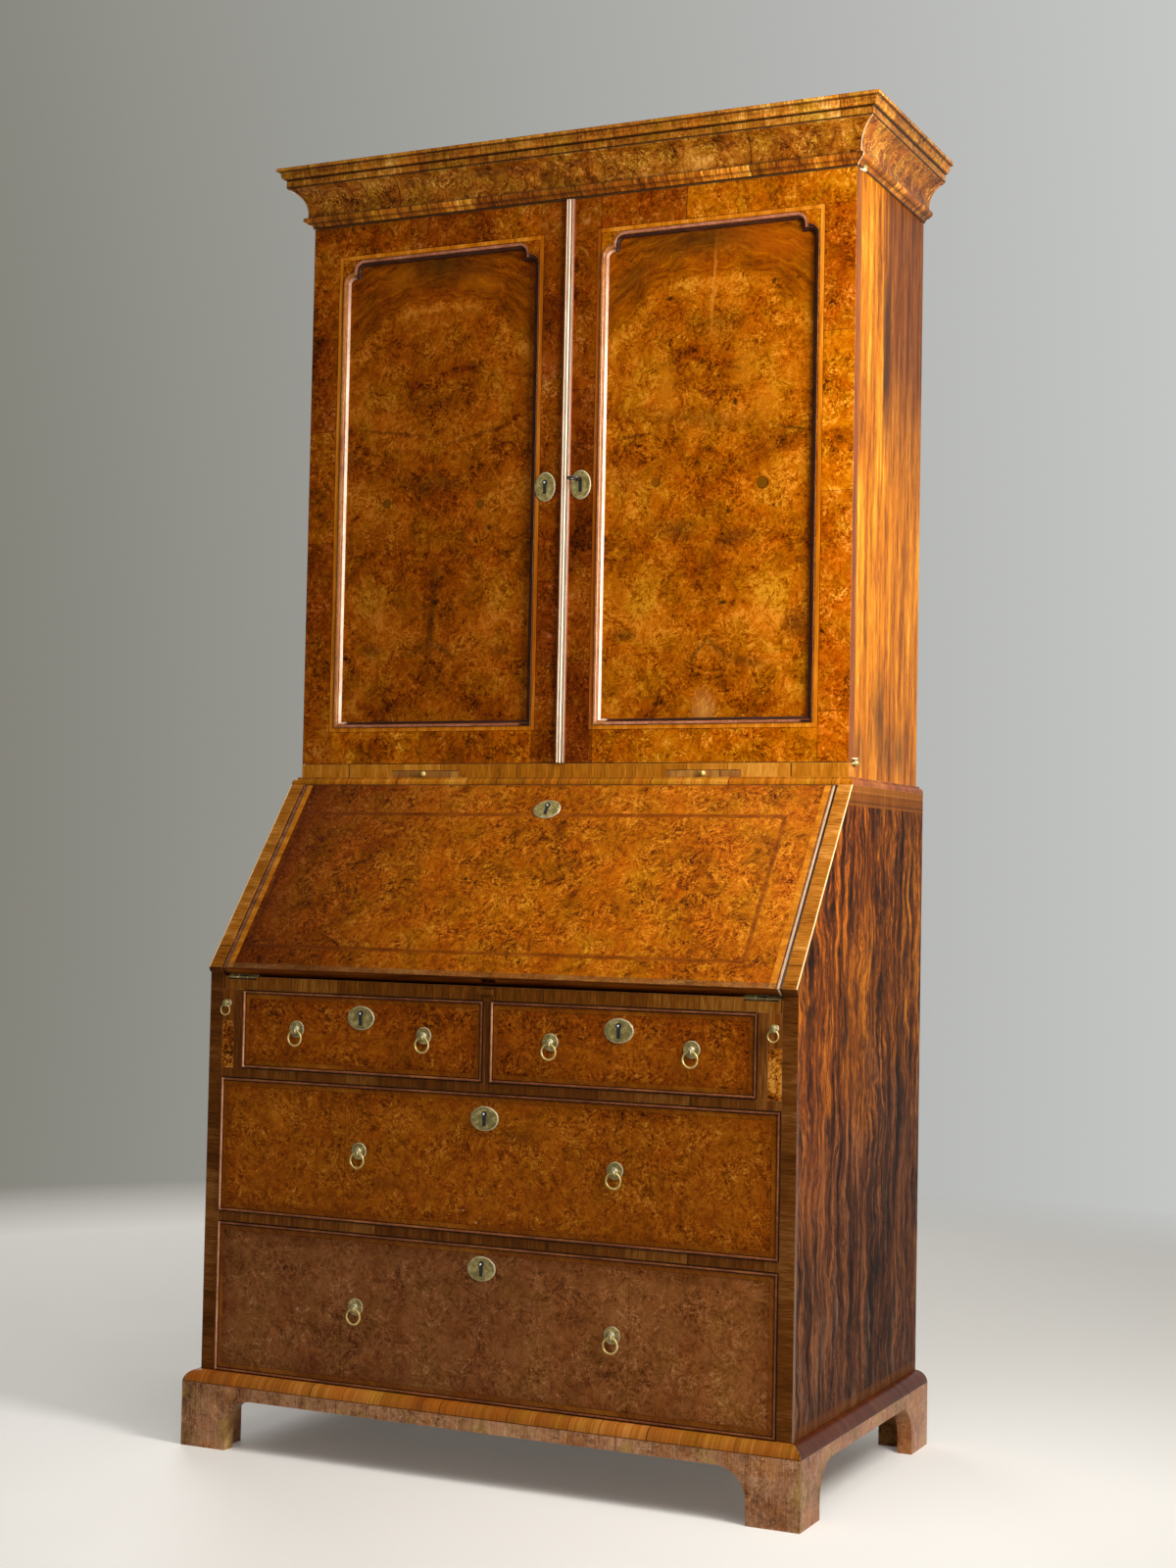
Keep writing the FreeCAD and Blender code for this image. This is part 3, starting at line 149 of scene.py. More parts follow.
def outline(tree, places, sides, ends, inset, width, soft=0.0002):
    """A thin line that runs round a rectangle, this far inside its edges."""
    areas = []
    for deep in (inset, inset + width):
        areas.append(both(tree, band(tree, places[0], sides[0] + deep, sides[1] - deep, soft),
                          band(tree, places[1], ends[0] + deep, ends[1] - deep, soft)))
    return add(tree, "Math", areas, operation="SUBTRACT")


def from_lip(tree, spot, way):
    """How far a place lies from the lower edge of the fall, measured this way."""
    reach = add(tree, "VectorMath", (spot, way), out="Value", operation="DOT_PRODUCT")
    return weigh(tree, [(reach, 1.0)], -lip[0] * way[1] - lip[1] * way[2])


def layers(tree, base, entries):
    """Colours laid over a base, each where its mask is set."""
    for mask, colour in entries:
        base = add(tree, "Mix", {0: mask, 6: base, 7: colour}, **COLOUR)
    return base


def shaded(tree, colour, amount):
    """A colour made darker or lighter by a pattern about 1."""
    return add(tree, "Mix", {0: 1.0, 6: colour, 7: amount}, blend_type="MULTIPLY", **COLOUR)


def burr(tree, spot, coarse=1.0, broad=None, clouds=1.0, crisp=0.85):
    """Burr figure from 0, the darkest, to 1: busy and calm patches, pale and dark curls, clouds and eyes."""
    broad = broad or spot
    drift = add(tree, "TexNoise", {"Vector": spot, "Scale": per(48 * coarse), "Detail": 3.0}, out=1)
    bent = add(tree, "VectorMath", (drift, (0.050 * coarse,) * 3, spot), operation="MULTIPLY_ADD")
    busy = add(tree, "TexNoise", {"Vector": broad, "Scale": per(38 * coarse), "Detail": 3.0,
                                  "Roughness": 0.6})
    busy = add(tree, "MapRange", (busy, 0.40, 0.62, 0.45, 1.15))
    mottle = add(tree, "TexNoise", {"Vector": bent, "Scale": per(8 * coarse), "Detail": 3.0,
                                    "Roughness": 0.62})
    speck = add(tree, "TexNoise", {"Vector": spot, "Scale": per(3.4 * coarse), "Detail": 2.0,
                                   "Roughness": 0.6})
    fine = both(tree, weigh(tree, [(mottle, 2.0), (speck, 1.4)], -1.70), busy)
    curl = add(tree, "TexNoise", {"Vector": bent, "Scale": per(8 * coarse), "Detail": 1.0, "Distortion": 1.3})
    pale = both(tree, add(tree, "MapRange", (away_from(tree, curl, 0.50), 0.003, 0.024, 1.0, 0.0)), busy)
    deep = both(tree, add(tree, "MapRange", (away_from(tree, curl, 0.58), 0.003, 0.022, 1.0, 0.0)), busy)
    swirl = add(tree, "TexNoise", {"Vector": bent, "Scale": per(30 * coarse), "Detail": 2.5})
    swirl = add(tree, "Math", (swirl, 75.0), operation="MULTIPLY")
    swirl = add(tree, "Math", (swirl,), operation="SINE")
    swirl = add(tree, "MapRange", (swirl, -1.0, -0.3, 1.0, 0.0))
    soft = add(tree, "TexNoise", {"Vector": bent, "Scale": per(20 * coarse), "Detail": 2.0})
    dark = add(tree, "TexNoise", {"Vector": broad, "Scale": per(58), "Detail": 5.0, "Roughness": 0.66})
    dark = add(tree, "MapRange", (dark, 0.52, 0.68))
    cloud = add(tree, "TexNoise", {"Vector": broad, "Scale": per(110), "Detail": 4.0, "Roughness": 0.62})
    eye = add(tree, "TexVoronoi", {"Vector": bent, "Scale": per(11 * coarse)})
    eye = both(tree, add(tree, "MapRange", (eye, 0.05, 0.24, 1.0, 0.0)), busy)
    sharp = [(fine, crisp), (pale, 0.36 * crisp), (deep, -0.22 * crisp), (soft, 0.60), (eye, -0.26 * crisp)]
    wide = [(cloud, 1.1 * clouds), (both(tree, swirl, dark), -0.32 * clouds), (dark, -0.20 * clouds)]
    return weigh(tree, sharp + wide, 0.20 - 0.47 * clouds)


def hue_drift(tree, spot, colour, size):
    """Patches of olive and of orange that wander over a veneer."""
    drift = add(tree, "TexNoise", {"Vector": spot, "Scale": per(size), "Detail": 3.0, "Roughness": 0.6})
    olive = add(tree, "MapRange", (drift, 0.50, 0.62, 0.0, 0.8))
    orange = add(tree, "MapRange", (drift, 0.50, 0.38, 0.0, 0.8))
    return layers(tree, colour, [(olive, shaded(tree, colour, linear("#F0FFC0"))),
                                 (orange, shaded(tree, colour, linear("#FFECC0")))])


def mark(tree, spot, place_mm, half_mm, turn, soft):
    """1 inside an oval on the face, given by its middle and its half sizes in millimetres."""
    x, z = place_mm
    oval = add(tree, "Mapping", {"Vector": spot, "Location": (x / 1000, 0.0, z / 1000),
                                 "Rotation": (0.0, math.radians(turn), 0.0),
                                 "Scale": (half_mm[0] / 1000, 1000.0, half_mm[1] / 1000)},
               vector_type="TEXTURE")
    reach = add(tree, "VectorMath", (oval,), out="Value", operation="LENGTH")
    return add(tree, "MapRange", (reach, 1.0 - soft, 1.0 + soft, 1.0, 0.0))


def marked(tree, spot, base, table):
    """Old marks laid over a veneer: middle, half sizes, turn, softness, strength and colour of each."""
    rough = add(tree, "TexNoise", {"Vector": spot, "Scale": per(11), "Detail": 3.0}, out=1)
    ragged = add(tree, "VectorMath", (rough, (0.010,) * 3, spot), operation="MULTIPLY_ADD")
    ragged = add(tree, "VectorMath", (ragged, (0.005,) * 3), operation="SUBTRACT")
    for place_mm, half_mm, turn, soft, strength, colour in table:
        spread = spot if soft < 0.2 else ragged
        mask = both(tree, mark(tree, spread, place_mm, half_mm, turn, soft), strength)
        base = layers(tree, base, [(mask, linear(colour))])
    return base


def cross_grain(tree, along, across, piece, streak=2.4):
    """Grain that runs across a strip, in pieces of uneven tone, and the dark joints between them."""
    sway = add(tree, "Math", (along, 2 * math.pi / (piece * 2.7)), operation="MULTIPLY")
    sway = add(tree, "Math", (sway,), operation="SINE")
    uneven = weigh(tree, [(along, 1 / piece), (sway, 0.22)], 40.0)
    number = add(tree, "Math", (uneven,), operation="FLOOR")
    tone = add(tree, "TexWhiteNoise", {"W": number}, noise_dimensions="1D")
    part = add(tree, "Math", (uneven,), operation="FRACT")
    joint = add(tree, "MapRange", (away_from(tree, part, 0.5), 0.5 - 0.0009 / piece, 0.5 - 0.0002 / piece))
    flat = add(tree, "Math", (across, 0.09), operation="MULTIPLY")
    apart = add(tree, "Math", (number, 0.37), operation="MULTIPLY")
    spot = add(tree, "CombineXYZ", (along, apart, flat))
    streaks = add(tree, "TexNoise", {"Vector": spot, "Scale": per(streak), "Detail": 3.0, "Roughness": 0.62})
    wide = add(tree, "TexNoise", {"Vector": spot, "Scale": per(streak * 7), "Detail": 2.0})
    return weigh(tree, [(streaks, 1.3), (wide, 0.9), (tone, 0.42)], -0.82), joint


def straight_grain(tree, spot, squash, width):
    """Long grain: fine streaks over broad bands that wander."""
    slow = add(tree, "Mapping", {"Vector": spot, "Scale": squash})
    drift = add(tree, "TexNoise", {"Vector": slow, "Scale": per(width * 14), "Detail": 2.0}, out=1)
    bent = add(tree, "VectorMath", (drift, (0.016,) * 3, slow), operation="MULTIPLY_ADD")
    fine = add(tree, "TexNoise", {"Vector": bent, "Scale": per(width), "Detail": 4.0, "Roughness": 0.65})
    broad = add(tree, "TexNoise", {"Vector": bent, "Scale": per(width * 8), "Detail": 3.0})
    return weigh(tree, [(fine, 1.2), (broad, 1.5)], -0.85)


def even_stops(*colours):
    """Stops of a colour ramp at even distances."""
    return [(number / (len(colours) - 1), tuple(colour)) for number, colour in enumerate(colours)]


def tones(*codes):
    """Even stops of a colour ramp, from sRGB hex values."""
    return even_stops(*[linear(code) for code in codes])


def mirrored_run(tree, x, y, z, face_x, face_y):
    """Length along a moulding round both front corners, how far out and up it lies, and whether on a side."""
    wide = add(tree, "Math", (x,), operation="ABSOLUTE")
    out_x = add(tree, "Math", (wide, face_x), operation="SUBTRACT")
    out_y = add(tree, "Math", (face_y, y), operation="SUBTRACT")
    side = add(tree, "Math", (out_x, out_y), operation="GREATER_THAN")
    turned = weigh(tree, [(y, 1.0)], 0.71)
    along = add(tree, "Mix", {0: side, 2: x, 3: turned})
    out = add(tree, "Math", (out_x, out_y), operation="MAXIMUM")
    up = add(tree, "Math", (out, z), operation="ADD")
    return along, up, side


def polish(tree, colour, height, roughness=0.36, coat=0.03, wear_and_highlight=None, round_off=0.0011, darkening=0.8,
           gloss=0.12):
    """Wax over veneer: soft arrises lightened by rubbing and a painted highlight, dirt and painted shade kept
    in the quirks, a thin glossy film.
    """
    finishes = bpy.context.scene.bureau_finishes
    wear_and_highlight = wear_and_highlight or tuple(finishes.wear_and_highlight)
    true = add(tree, "NewGeometry", out="Normal")
    soft = add(tree, "Bevel", {"Radius": round_off}, samples=4)
    turn = add(tree, "VectorMath", (soft, true), out="Value", operation="DOT_PRODUCT")
    open_air = add(tree, "AmbientOcclusion", {"Distance": 0.006}, out="AO", samples=4, only_local=True)
    # Darkening where the surface is hollow, read from ambient occlusion: dirt and painted shade
    hollow = add(tree, "MapRange", (open_air, 0.35, 0.80, darkening, 0.0))
    # Lighter arrises, read from the softened normal: rubbed wood and a painted highlight
    edge = add(tree, "MapRange", (turn, 0.97, 0.80, 0.0, 0.6))
    edge = both(tree, edge, add(tree, "MapRange", (open_air, 0.80, 0.95)))
    colour = layers(tree, colour, [(edge, wear_and_highlight), (hollow, tuple(finishes.darkening))])
    bump = add(tree, "Bump", {"Strength": 0.5, "Distance": 0.0003, "Height": height, "Normal": soft})
    uneven = add(tree, "MapRange", (height, 0.0, 1.0, roughness + 0.07, roughness - 0.05))
    shader = add(tree, "BsdfPrincipled", {"Base Color": colour, "Roughness": uneven, "Normal": bump,
                                          "Specular IOR Level": gloss, "Specular Tint": linear("#E8A868"),
                                          "Coat Weight": coat, "Coat Roughness": 0.16, "Coat Normal": soft})
    add(tree, "OutputMaterial", (shader,), out=None)


def new_tree(name):
    """An empty material and its nodes."""
    material = bpy.data.materials.new(name)
    material.use_nodes = True
    material.node_tree.nodes.clear()
    return material, material.node_tree


# Colours of the veneers, from dark to light
BURR = tones("#2A1000", "#662A00", "#8A4400", "#A65A04", "#C67C20")
BURR_RED = tones("#240C00", "#602800", "#904600", "#B86804", "#E09C38")
BURR_OLD = tones("#200C00", "#5C2804", "#8A4408", "#AA6010", "#CC8C38")
RED_GRAIN = tones("#220C02", "#582606", "#82420A", "#AE6A18")
OAK = tones("#5E4628", "#86663E", "#A48254")
# Painted light and shade on the mouldings: a half-lit brown, a pale painted highlight, a pinkish painted
# highlight, and painted shade
HALF_LIT_TAN = tones("#5A3018", "#9A6642", "#C49468")
HIGHLIGHT_CREAM = tones("#C8A480", "#E6CCAE", "#F6E6D0")
HIGHLIGHT_ROSE = tones("#6A3420", "#9A5C40", "#C08468")
SHADOW = tones("#160804", "#2C120A", "#4A2414")

# Old marks on the door panels: middle and half sizes in millimetres, turn in degrees, softness, strength,
# colour
RIGHT_MARKS = [
    ((155, 1542), (8.0, 8.0), 0, 0.10, 0.7, "#2E1402"),
    ((337, 1532), (10.2, 10.2), 0, 0.10, 0.8, "#2A1402"),
    ((154, 1543), (6.6, 6.6), 0, 0.12, 0.8, "#7C4404"), ((336, 1533), (8.6, 8.6), 0, 0.12, 0.8, "#6A3E04"),
    ((230, 1640), (90, 12), 8, 0.9, 0.45, "#3A1C02"), ((250, 1790), (34, 18), 0, 0.9, 0.4, "#3A1C02"),
    ((100, 1560), (26, 22), 0, 0.9, 0.3, "#5A2404"), ((370, 1600), (40, 14), -20, 0.9, 0.4, "#3E1E02"),
    ((225, 1928), (80, 20), 0, 0.8, 0.7, "#2E1E06"), ((350, 1912), (70, 22), 15, 0.7, 0.45, "#A04A04"),
    ((100, 1870), (46, 16), -35, 0.8, 0.4, "#3E2408"), ((249, 1846), (2.6, 55), 3, 0.6, 0.6, "#C67A22"),
    ((170, 1694), (13, 32), 0, 0.7, 0.4, "#BE7212"), ((304, 1723), (15, 30), 0, 0.7, 0.4, "#BE7212"),
    ((338, 1658), (17, 22), 20, 0.7, 0.4, "#BE7212"), ((175, 1836), (6, 4), 0, 0.4, 0.85, "#261002"),
    ((351, 1849), (4, 4), 0, 0.4, 0.8, "#261002"), ((392, 1851), (3, 3), 0, 0.4, 0.7, "#261002"),
    ((289, 1662), (4, 4.5), 0, 0.4, 0.85, "#261002"), ((355, 1496), (3, 3), 0, 0.4, 0.8, "#261002"),
    ((274, 1347), (5, 4), 0, 0.4, 0.9, "#1E0C02"), ((383, 1616), (26, 2.0), 12, 0.6, 0.7, "#2E1604"),
    ((120, 1619), (28, 2.2), -8, 0.6, 0.6, "#2E1604"), ((192, 1465), (30, 13), 10, 0.8, 0.55, "#3A1E06"),
    ((292, 1448), (26, 11), -15, 0.8, 0.55, "#3A1E06"), ((101, 1299), (18, 8), 0, 0.7, 0.6, "#2E1A06"),
    ((396, 1311), (18, 18), 0, 0.7, 0.6, "#2E1A06"), ((232, 1272), (17, 4), -50, 0.7, 0.6, "#351C06"),
    ((262, 1277), (22, 5), 35, 0.7, 0.6, "#351C06"), ((312, 1254), (32, 8), 12, 0.8, 0.5, "#351C06"),
    ((244, 1174), (14, 24), 0, 0.9, 0.4, "#B88848"),
]
LEFT_MARKS = [
    ((-338, 1533), (8.0, 8.0), 0, 0.10, 0.7, "#2A1402"),
    ((-161, 1524), (7.6, 7.6), 0, 0.10, 0.7, "#2A1402"),
    ((-338, 1533), (6.6, 6.6), 0, 0.12, 0.8, "#6A3E04"),
    ((-161, 1524), (6.2, 6.2), 0, 0.12, 0.8, "#6A3E04"), ((-240, 1926), (62, 24), 0, 0.8, 0.65, "#2E1E06"),
    ((-320, 1913), (24, 14), -20, 0.7, 0.4, "#A85C08"), ((-168, 1892), (32, 13), 15, 0.7, 0.4, "#A85C08"),
    ((-143, 1484), (5, 4), 0, 0.4, 0.8, "#261002"), ((-167, 1463), (4, 4), 0, 0.4, 0.8, "#261002"),
    ((-231, 1403), (4, 4), 0, 0.4, 0.8, "#261002"), ((-242, 1363), (5, 4), 0, 0.4, 0.9, "#1E0C02"),
    ((-249, 1330), (6, 46), 4, 0.8, 0.7, "#261002"), ((-270, 1288), (20, 6), -30, 0.8, 0.6, "#2E1604"),
    ((-229, 1285), (20, 6), 30, 0.8, 0.6, "#2E1604"), ((-119, 1278), (14, 10), 0, 0.7, 0.5, "#2E1604"),
    ((-360, 1284), (14, 10), 0, 0.7, 0.5, "#2E1604"), ((-330, 1652), (60, 2.6), 8, 0.7, 0.5, "#2E1604"),
    ((-170, 1640), (60, 2.6), -12, 0.7, 0.5, "#2E1604"), ((-250, 1700), (36, 10), 0, 0.8, 0.3, "#3A1E06"),
    ((-250, 1560), (50, 14), 0, 0.8, 0.3, "#3A1E06"),
]

# Pieces of the crossband on the door frames: sides, ends, strength and tone of each
RIGHT_PIECES = [
    (outer_stile, (1.1730, 1.5120), 0.8, "#F0DCFF"), (outer_stile, (1.7600, string_z[1]), 0.8, "#E8D0FF"),
    (outer_stile, (1.0900, 1.1730), 0.8, "#FFE4FF"), ((sight_x[0], 0.2040), upper_rail, 0.8, "#C8A8FF"),
    ((0.2040, 0.3900), upper_rail, 0.4, "#F0E8FF"), (meeting_stile, (1.4100, 1.7000), 0.7, "#E0D0FF"),
    ((sight_x[0], 0.3320), lower_rail, 0.5, "#F8F0FF"), (meeting_stile, (1.0900, 1.2600), 0.7, "#E0C8FF"),
]
LEFT_PIECES = [
    (covered_stile, (1.2530, 1.3900), 0.8, "#E0C8FF"), (covered_stile, (1.3900, 1.5100), 0.4, "#FFF0FF"),
    (covered_stile, (1.7200, 1.8600), 0.6, "#D8C0FF"), ((0.1230, 0.2610), lower_rail, 0.7, "#E0D0FF"),
    (outer_stile, (1.3000, 1.4700), 0.7, "#E0C8FF"), (outer_stile, (1.6600, 1.8200), 0.7, "#D8C0FF"),
    ((0.1400, 0.3000), upper_rail, 0.6, "#D8C0FF"),
]


def panel_material(name, joint, tint, table):
    """Book-matched burr walnut: two halves of one leaf turned at the joint, swirling grain round an arch."""
    material, tree = new_tree(name)
    spot, x, _, z = place(tree)
    arch_half = 0.200
    arch_rise = 0.175
    spring_z = 1.700
    away = away_from(tree, x, joint)
    leaf = add(tree, "CombineXYZ", (away, 0.0, z))
    shift = add(tree, "TexNoise", {"Vector": spot, "Scale": per(85), "Detail": 2.0}, out=1)
    leaf = add(tree, "VectorMath", (shift, (0.10, 0.0, 0.10), leaf), operation="MULTIPLY_ADD")
    figure = burr(tree, spot, 1.0, leaf, 1.15)
    wide = add(tree, "Math", (away, 1 / arch_half), operation="MULTIPLY")
    wide = add(tree, "Math", (wide, 2.0), operation="POWER")
    tall = weigh(tree, [(z, 1 / arch_rise)], -spring_z / arch_rise)
    tall = add(tree, "Math", (tall, 0.0), operation="MAXIMUM")
    tall = add(tree, "Math", (tall, 2.0), operation="POWER")
    ring = add(tree, "Math", (wide, tall), operation="ADD")
    ring = add(tree, "Math", (ring,), operation="SQRT")
    drift = add(tree, "TexNoise", {"Vector": leaf, "Scale": per(60), "Detail": 4.0})
    ring = weigh(tree, [(drift, 0.34)], ring)
    upper = add(tree, "MapRange", (z, spring_z - 0.020, spring_z + 0.060))
    outside = both(tree, add(tree, "MapRange", (ring, 1.12, 1.20)), upper)
    around = add(tree, "Math", (away, 0.8), operation="MULTIPLY")
    flow = add(tree, "CombineXYZ", (ring, around, 0.0))
    swirl = add(tree, "TexNoise", {"Vector": flow, "Scale": 26.0, "Detail": 5.0, "Roughness": 0.66})
    swirl = weigh(tree, [(swirl, 1.5), (figure, 0.30)], -0.47)
    rim = both(tree, band(tree, ring, 1.02, 1.12, 0.03), upper)
    figure = add(tree, "Mix", {0: outside, 2: weigh(tree, [(rim, 0.14)], figure), 3: swirl})
    colour = add(tree, "ValToRGB", (figure,), stops=BURR)
    colour = hue_drift(tree, leaf, colour, 50)
    colour = shaded(tree, colour, tint)
    seam = band(tree, away, -0.0004, 0.0004, 0.0003)
    colour = layers(tree, colour, [(both(tree, seam, 0.35), linear("#4A2002"))])
    colour = marked(tree, spot, colour, table)
    polish(tree, colour, figure)
    return material


def door_material(name, sight_left, pieces, tint, meeting_shade_tint, low_tint):
    """Door frame: burr crossband in short pieces, an orange string, painted shade towards the meeting stiles,
    a moulding with a painted highlight on its left side and painted shade on its right side.
    """
    material, tree = new_tree(name)
    spot, x, y, z = place(tree)
    wide = add(tree, "Math", (x, math.copysign(1.0, sight_left)), operation="MULTIPLY")
    figure = burr(tree, spot, 0.85, clouds=0.8, crisp=0.66)
    colour = add(tree, "ValToRGB", (figure,), stops=BURR_RED)
    colour = hue_drift(tree, spot, colour, 40)
    joint = 0.0008
    for sides, ends, strength, tone in pieces:
        area = both(tree, band(tree, wide, *sides, 0.0003), band(tree, z, *ends, 0.0003))
        core = both(tree, band(tree, wide, sides[0] + joint, sides[1] - joint),
                    band(tree, z, ends[0] + joint, ends[1] - joint))
        rim = weigh(tree, [(area, 0.8), (core, -0.8)], 0.0)
        colour = layers(tree, colour, [(both(tree, area, strength), shaded(tree, colour, linear(tone))),
                                       (rim, linear("#2E1002"))])
    # Painted shade: frame and string darker towards the meeting stiles
    inner = band(tree, wide, -1.0, sight_x[0] + 0.0010)
    low = both(tree, band(tree, z, 1.0, string_z[0] + 0.0002, 0.0002),
               band(tree, wide, sight_x[0], sight_x[1] + 0.0010, 0.0002))
    colour = layers(tree, colour, [(inner, shaded(tree, colour, meeting_shade_tint)),
                                   (low, shaded(tree, colour, low_tint))])
    colour = shaded(tree, colour, tint)
    line, dark_below, dark_above = (outline(tree, (wide, z), string_x, string_z, inset, width)
                                    for inset, width in ((0.0, 0.0072), (-0.0008, 0.0009), (0.0066, 0.0010)))
    dark_line = add(tree, "Math", (dark_below, dark_above), operation="MAXIMUM")
    string = straight_grain(tree, spot, (1.0, 1.0, 0.05), 2.0)
    string = add(tree, "ValToRGB", (string,), stops=tones("#8A4404", "#BC6A0C", "#DC9030"))
    string = layers(tree, string, [(inner, shaded(tree, string, meeting_shade_tint))])
    face = band(tree, y, door_face_y - 0.0002, door_face_y + 0.0003, 0.0001)
    sight = both(tree, band(tree, wide, sight_x[0] + 0.0012, sight_x[1] - 0.0012, 0.0002),
                 band(tree, z, sight_z[0] + 0.0012, sight_z[1] - 0.0012, 0.0002))
    off_face = add(tree, "Math", (1.0, face), operation="SUBTRACT")
    moulding = both(tree, off_face, sight)
    run = straight_grain(tree, spot, (0.3, 1.0, 0.3), 1.5)
    proud = add(tree, "MapRange", (y, door_face_y - 0.0002, door_face_y - 0.0001, 1.0, 0.0))
    hollow = band(tree, y, door_face_y + 0.0026, door_face_y + 0.0078, 0.0002)
    # Painted highlight on the moulding's left side, painted shade on its right side
    left = add(tree, "MapRange", (x, sight_left + 0.020, sight_left + 0.026, 1.0, 0.0))
    right = add(tree, "MapRange", (x, sight_left + 0.350, sight_left + 0.356))
    dark = add(tree, "ValToRGB", (run,), stops=SHADOW)
    rosy_highlight = add(tree, "ValToRGB", (run,), stops=HIGHLIGHT_ROSE)
    cream_highlight = add(tree, "ValToRGB", (run,), stops=HIGHLIGHT_CREAM)
    # Towards the top the painted highlight turns pinkish
    high = add(tree, "MapRange", (z, 1.72, 1.90, 0.0, 0.7))
    cream_highlight = layers(tree, cream_highlight, [(high, rosy_highlight)])
    ridge = add(tree, "ValToRGB", (run,), stops=tones("#6A3410", "#9A5A22", "#B87C40"))
    # Moulding colours by the way they face: painted shade, a pinkish painted highlight on the proud bead, a
    # pale painted highlight in the hollow on the left
    runs = layers(tree, dark, [(proud, rosy_highlight), (left, layers(tree, ridge, [(hollow, cream_highlight)])), (right, dark)])
    edge = both(tree, off_face, add(tree, "Math", (1.0, sight), operation="SUBTRACT"))
    back = add(tree, "MapRange", (y, -0.0190, -0.0186))
    plain = straight_grain(tree, spot, (1.0, 1.0, 0.04), 3.0)
    plain = add(tree, "ValToRGB", (plain,), stops=RED_GRAIN)
    colour = layers(tree, colour, [(line, string), (both(tree, dark_line, 0.7), linear("#2A0E02")),
                                   (moulding, runs), (edge, plain), (back, plain)])
    film = weigh(tree, [(both(tree, moulding, left), 0.6), (moulding, 0.2)], 0.03)
    polish(tree, colour, figure, coat=film)
    return material


def astragal_material():
    """Reeded cover strip: pale crowns with a painted highlight between quirks of painted shade, a pinkish
    painted highlight on the right crown, its left side a dimmer half-lit brown in polish.
    """
    material, tree = new_tree("astragal_reeds_painted_light")
    spot, x, _, z = place(tree)
    run = straight_grain(tree, spot, (1.0, 1.0, 0.04), 1.5)
    dark = add(tree, "ValToRGB", (run,), stops=SHADOW)
    tan = add(tree, "ValToRGB", (run,), stops=HALF_LIT_TAN)
    cream_highlight = add(tree, "ValToRGB", (run,), stops=HIGHLIGHT_CREAM)
    rosy_highlight = add(tree, "ValToRGB", (run,), stops=HIGHLIGHT_ROSE)
    # Crown colours are painted light: a half-lit brown, pale painted highlights and a pinkish one; the quirks
    # between keep painted shade
    crowns = ((-0.0072, -0.0052, 0.0003, tan), (-0.0050, -0.0034, 0.0002, cream_highlight),
              (-0.0030, 0.0018, 0.0002, cream_highlight), (0.0030, 0.0060, 0.0002, cream_highlight),
              (0.0062, 0.0080, 0.0002, rosy_highlight))
    colour = layers(tree, dark, [(band(tree, x, low, high, soft), bare_and_lit) for low, high, soft, bare_and_lit in crowns])
    # Towards the top the painted highlight turns darker and pinker
    high = add(tree, "MapRange", (z, 1.78, 1.98, 0.0, 0.3))
    colour = layers(tree, colour, [(high, shaded(tree, colour, linear("#C89078")))])
    polish(tree, colour, run, coat=0.6, gloss=0.4, darkening=0.3, round_off=0.0006)
    return material


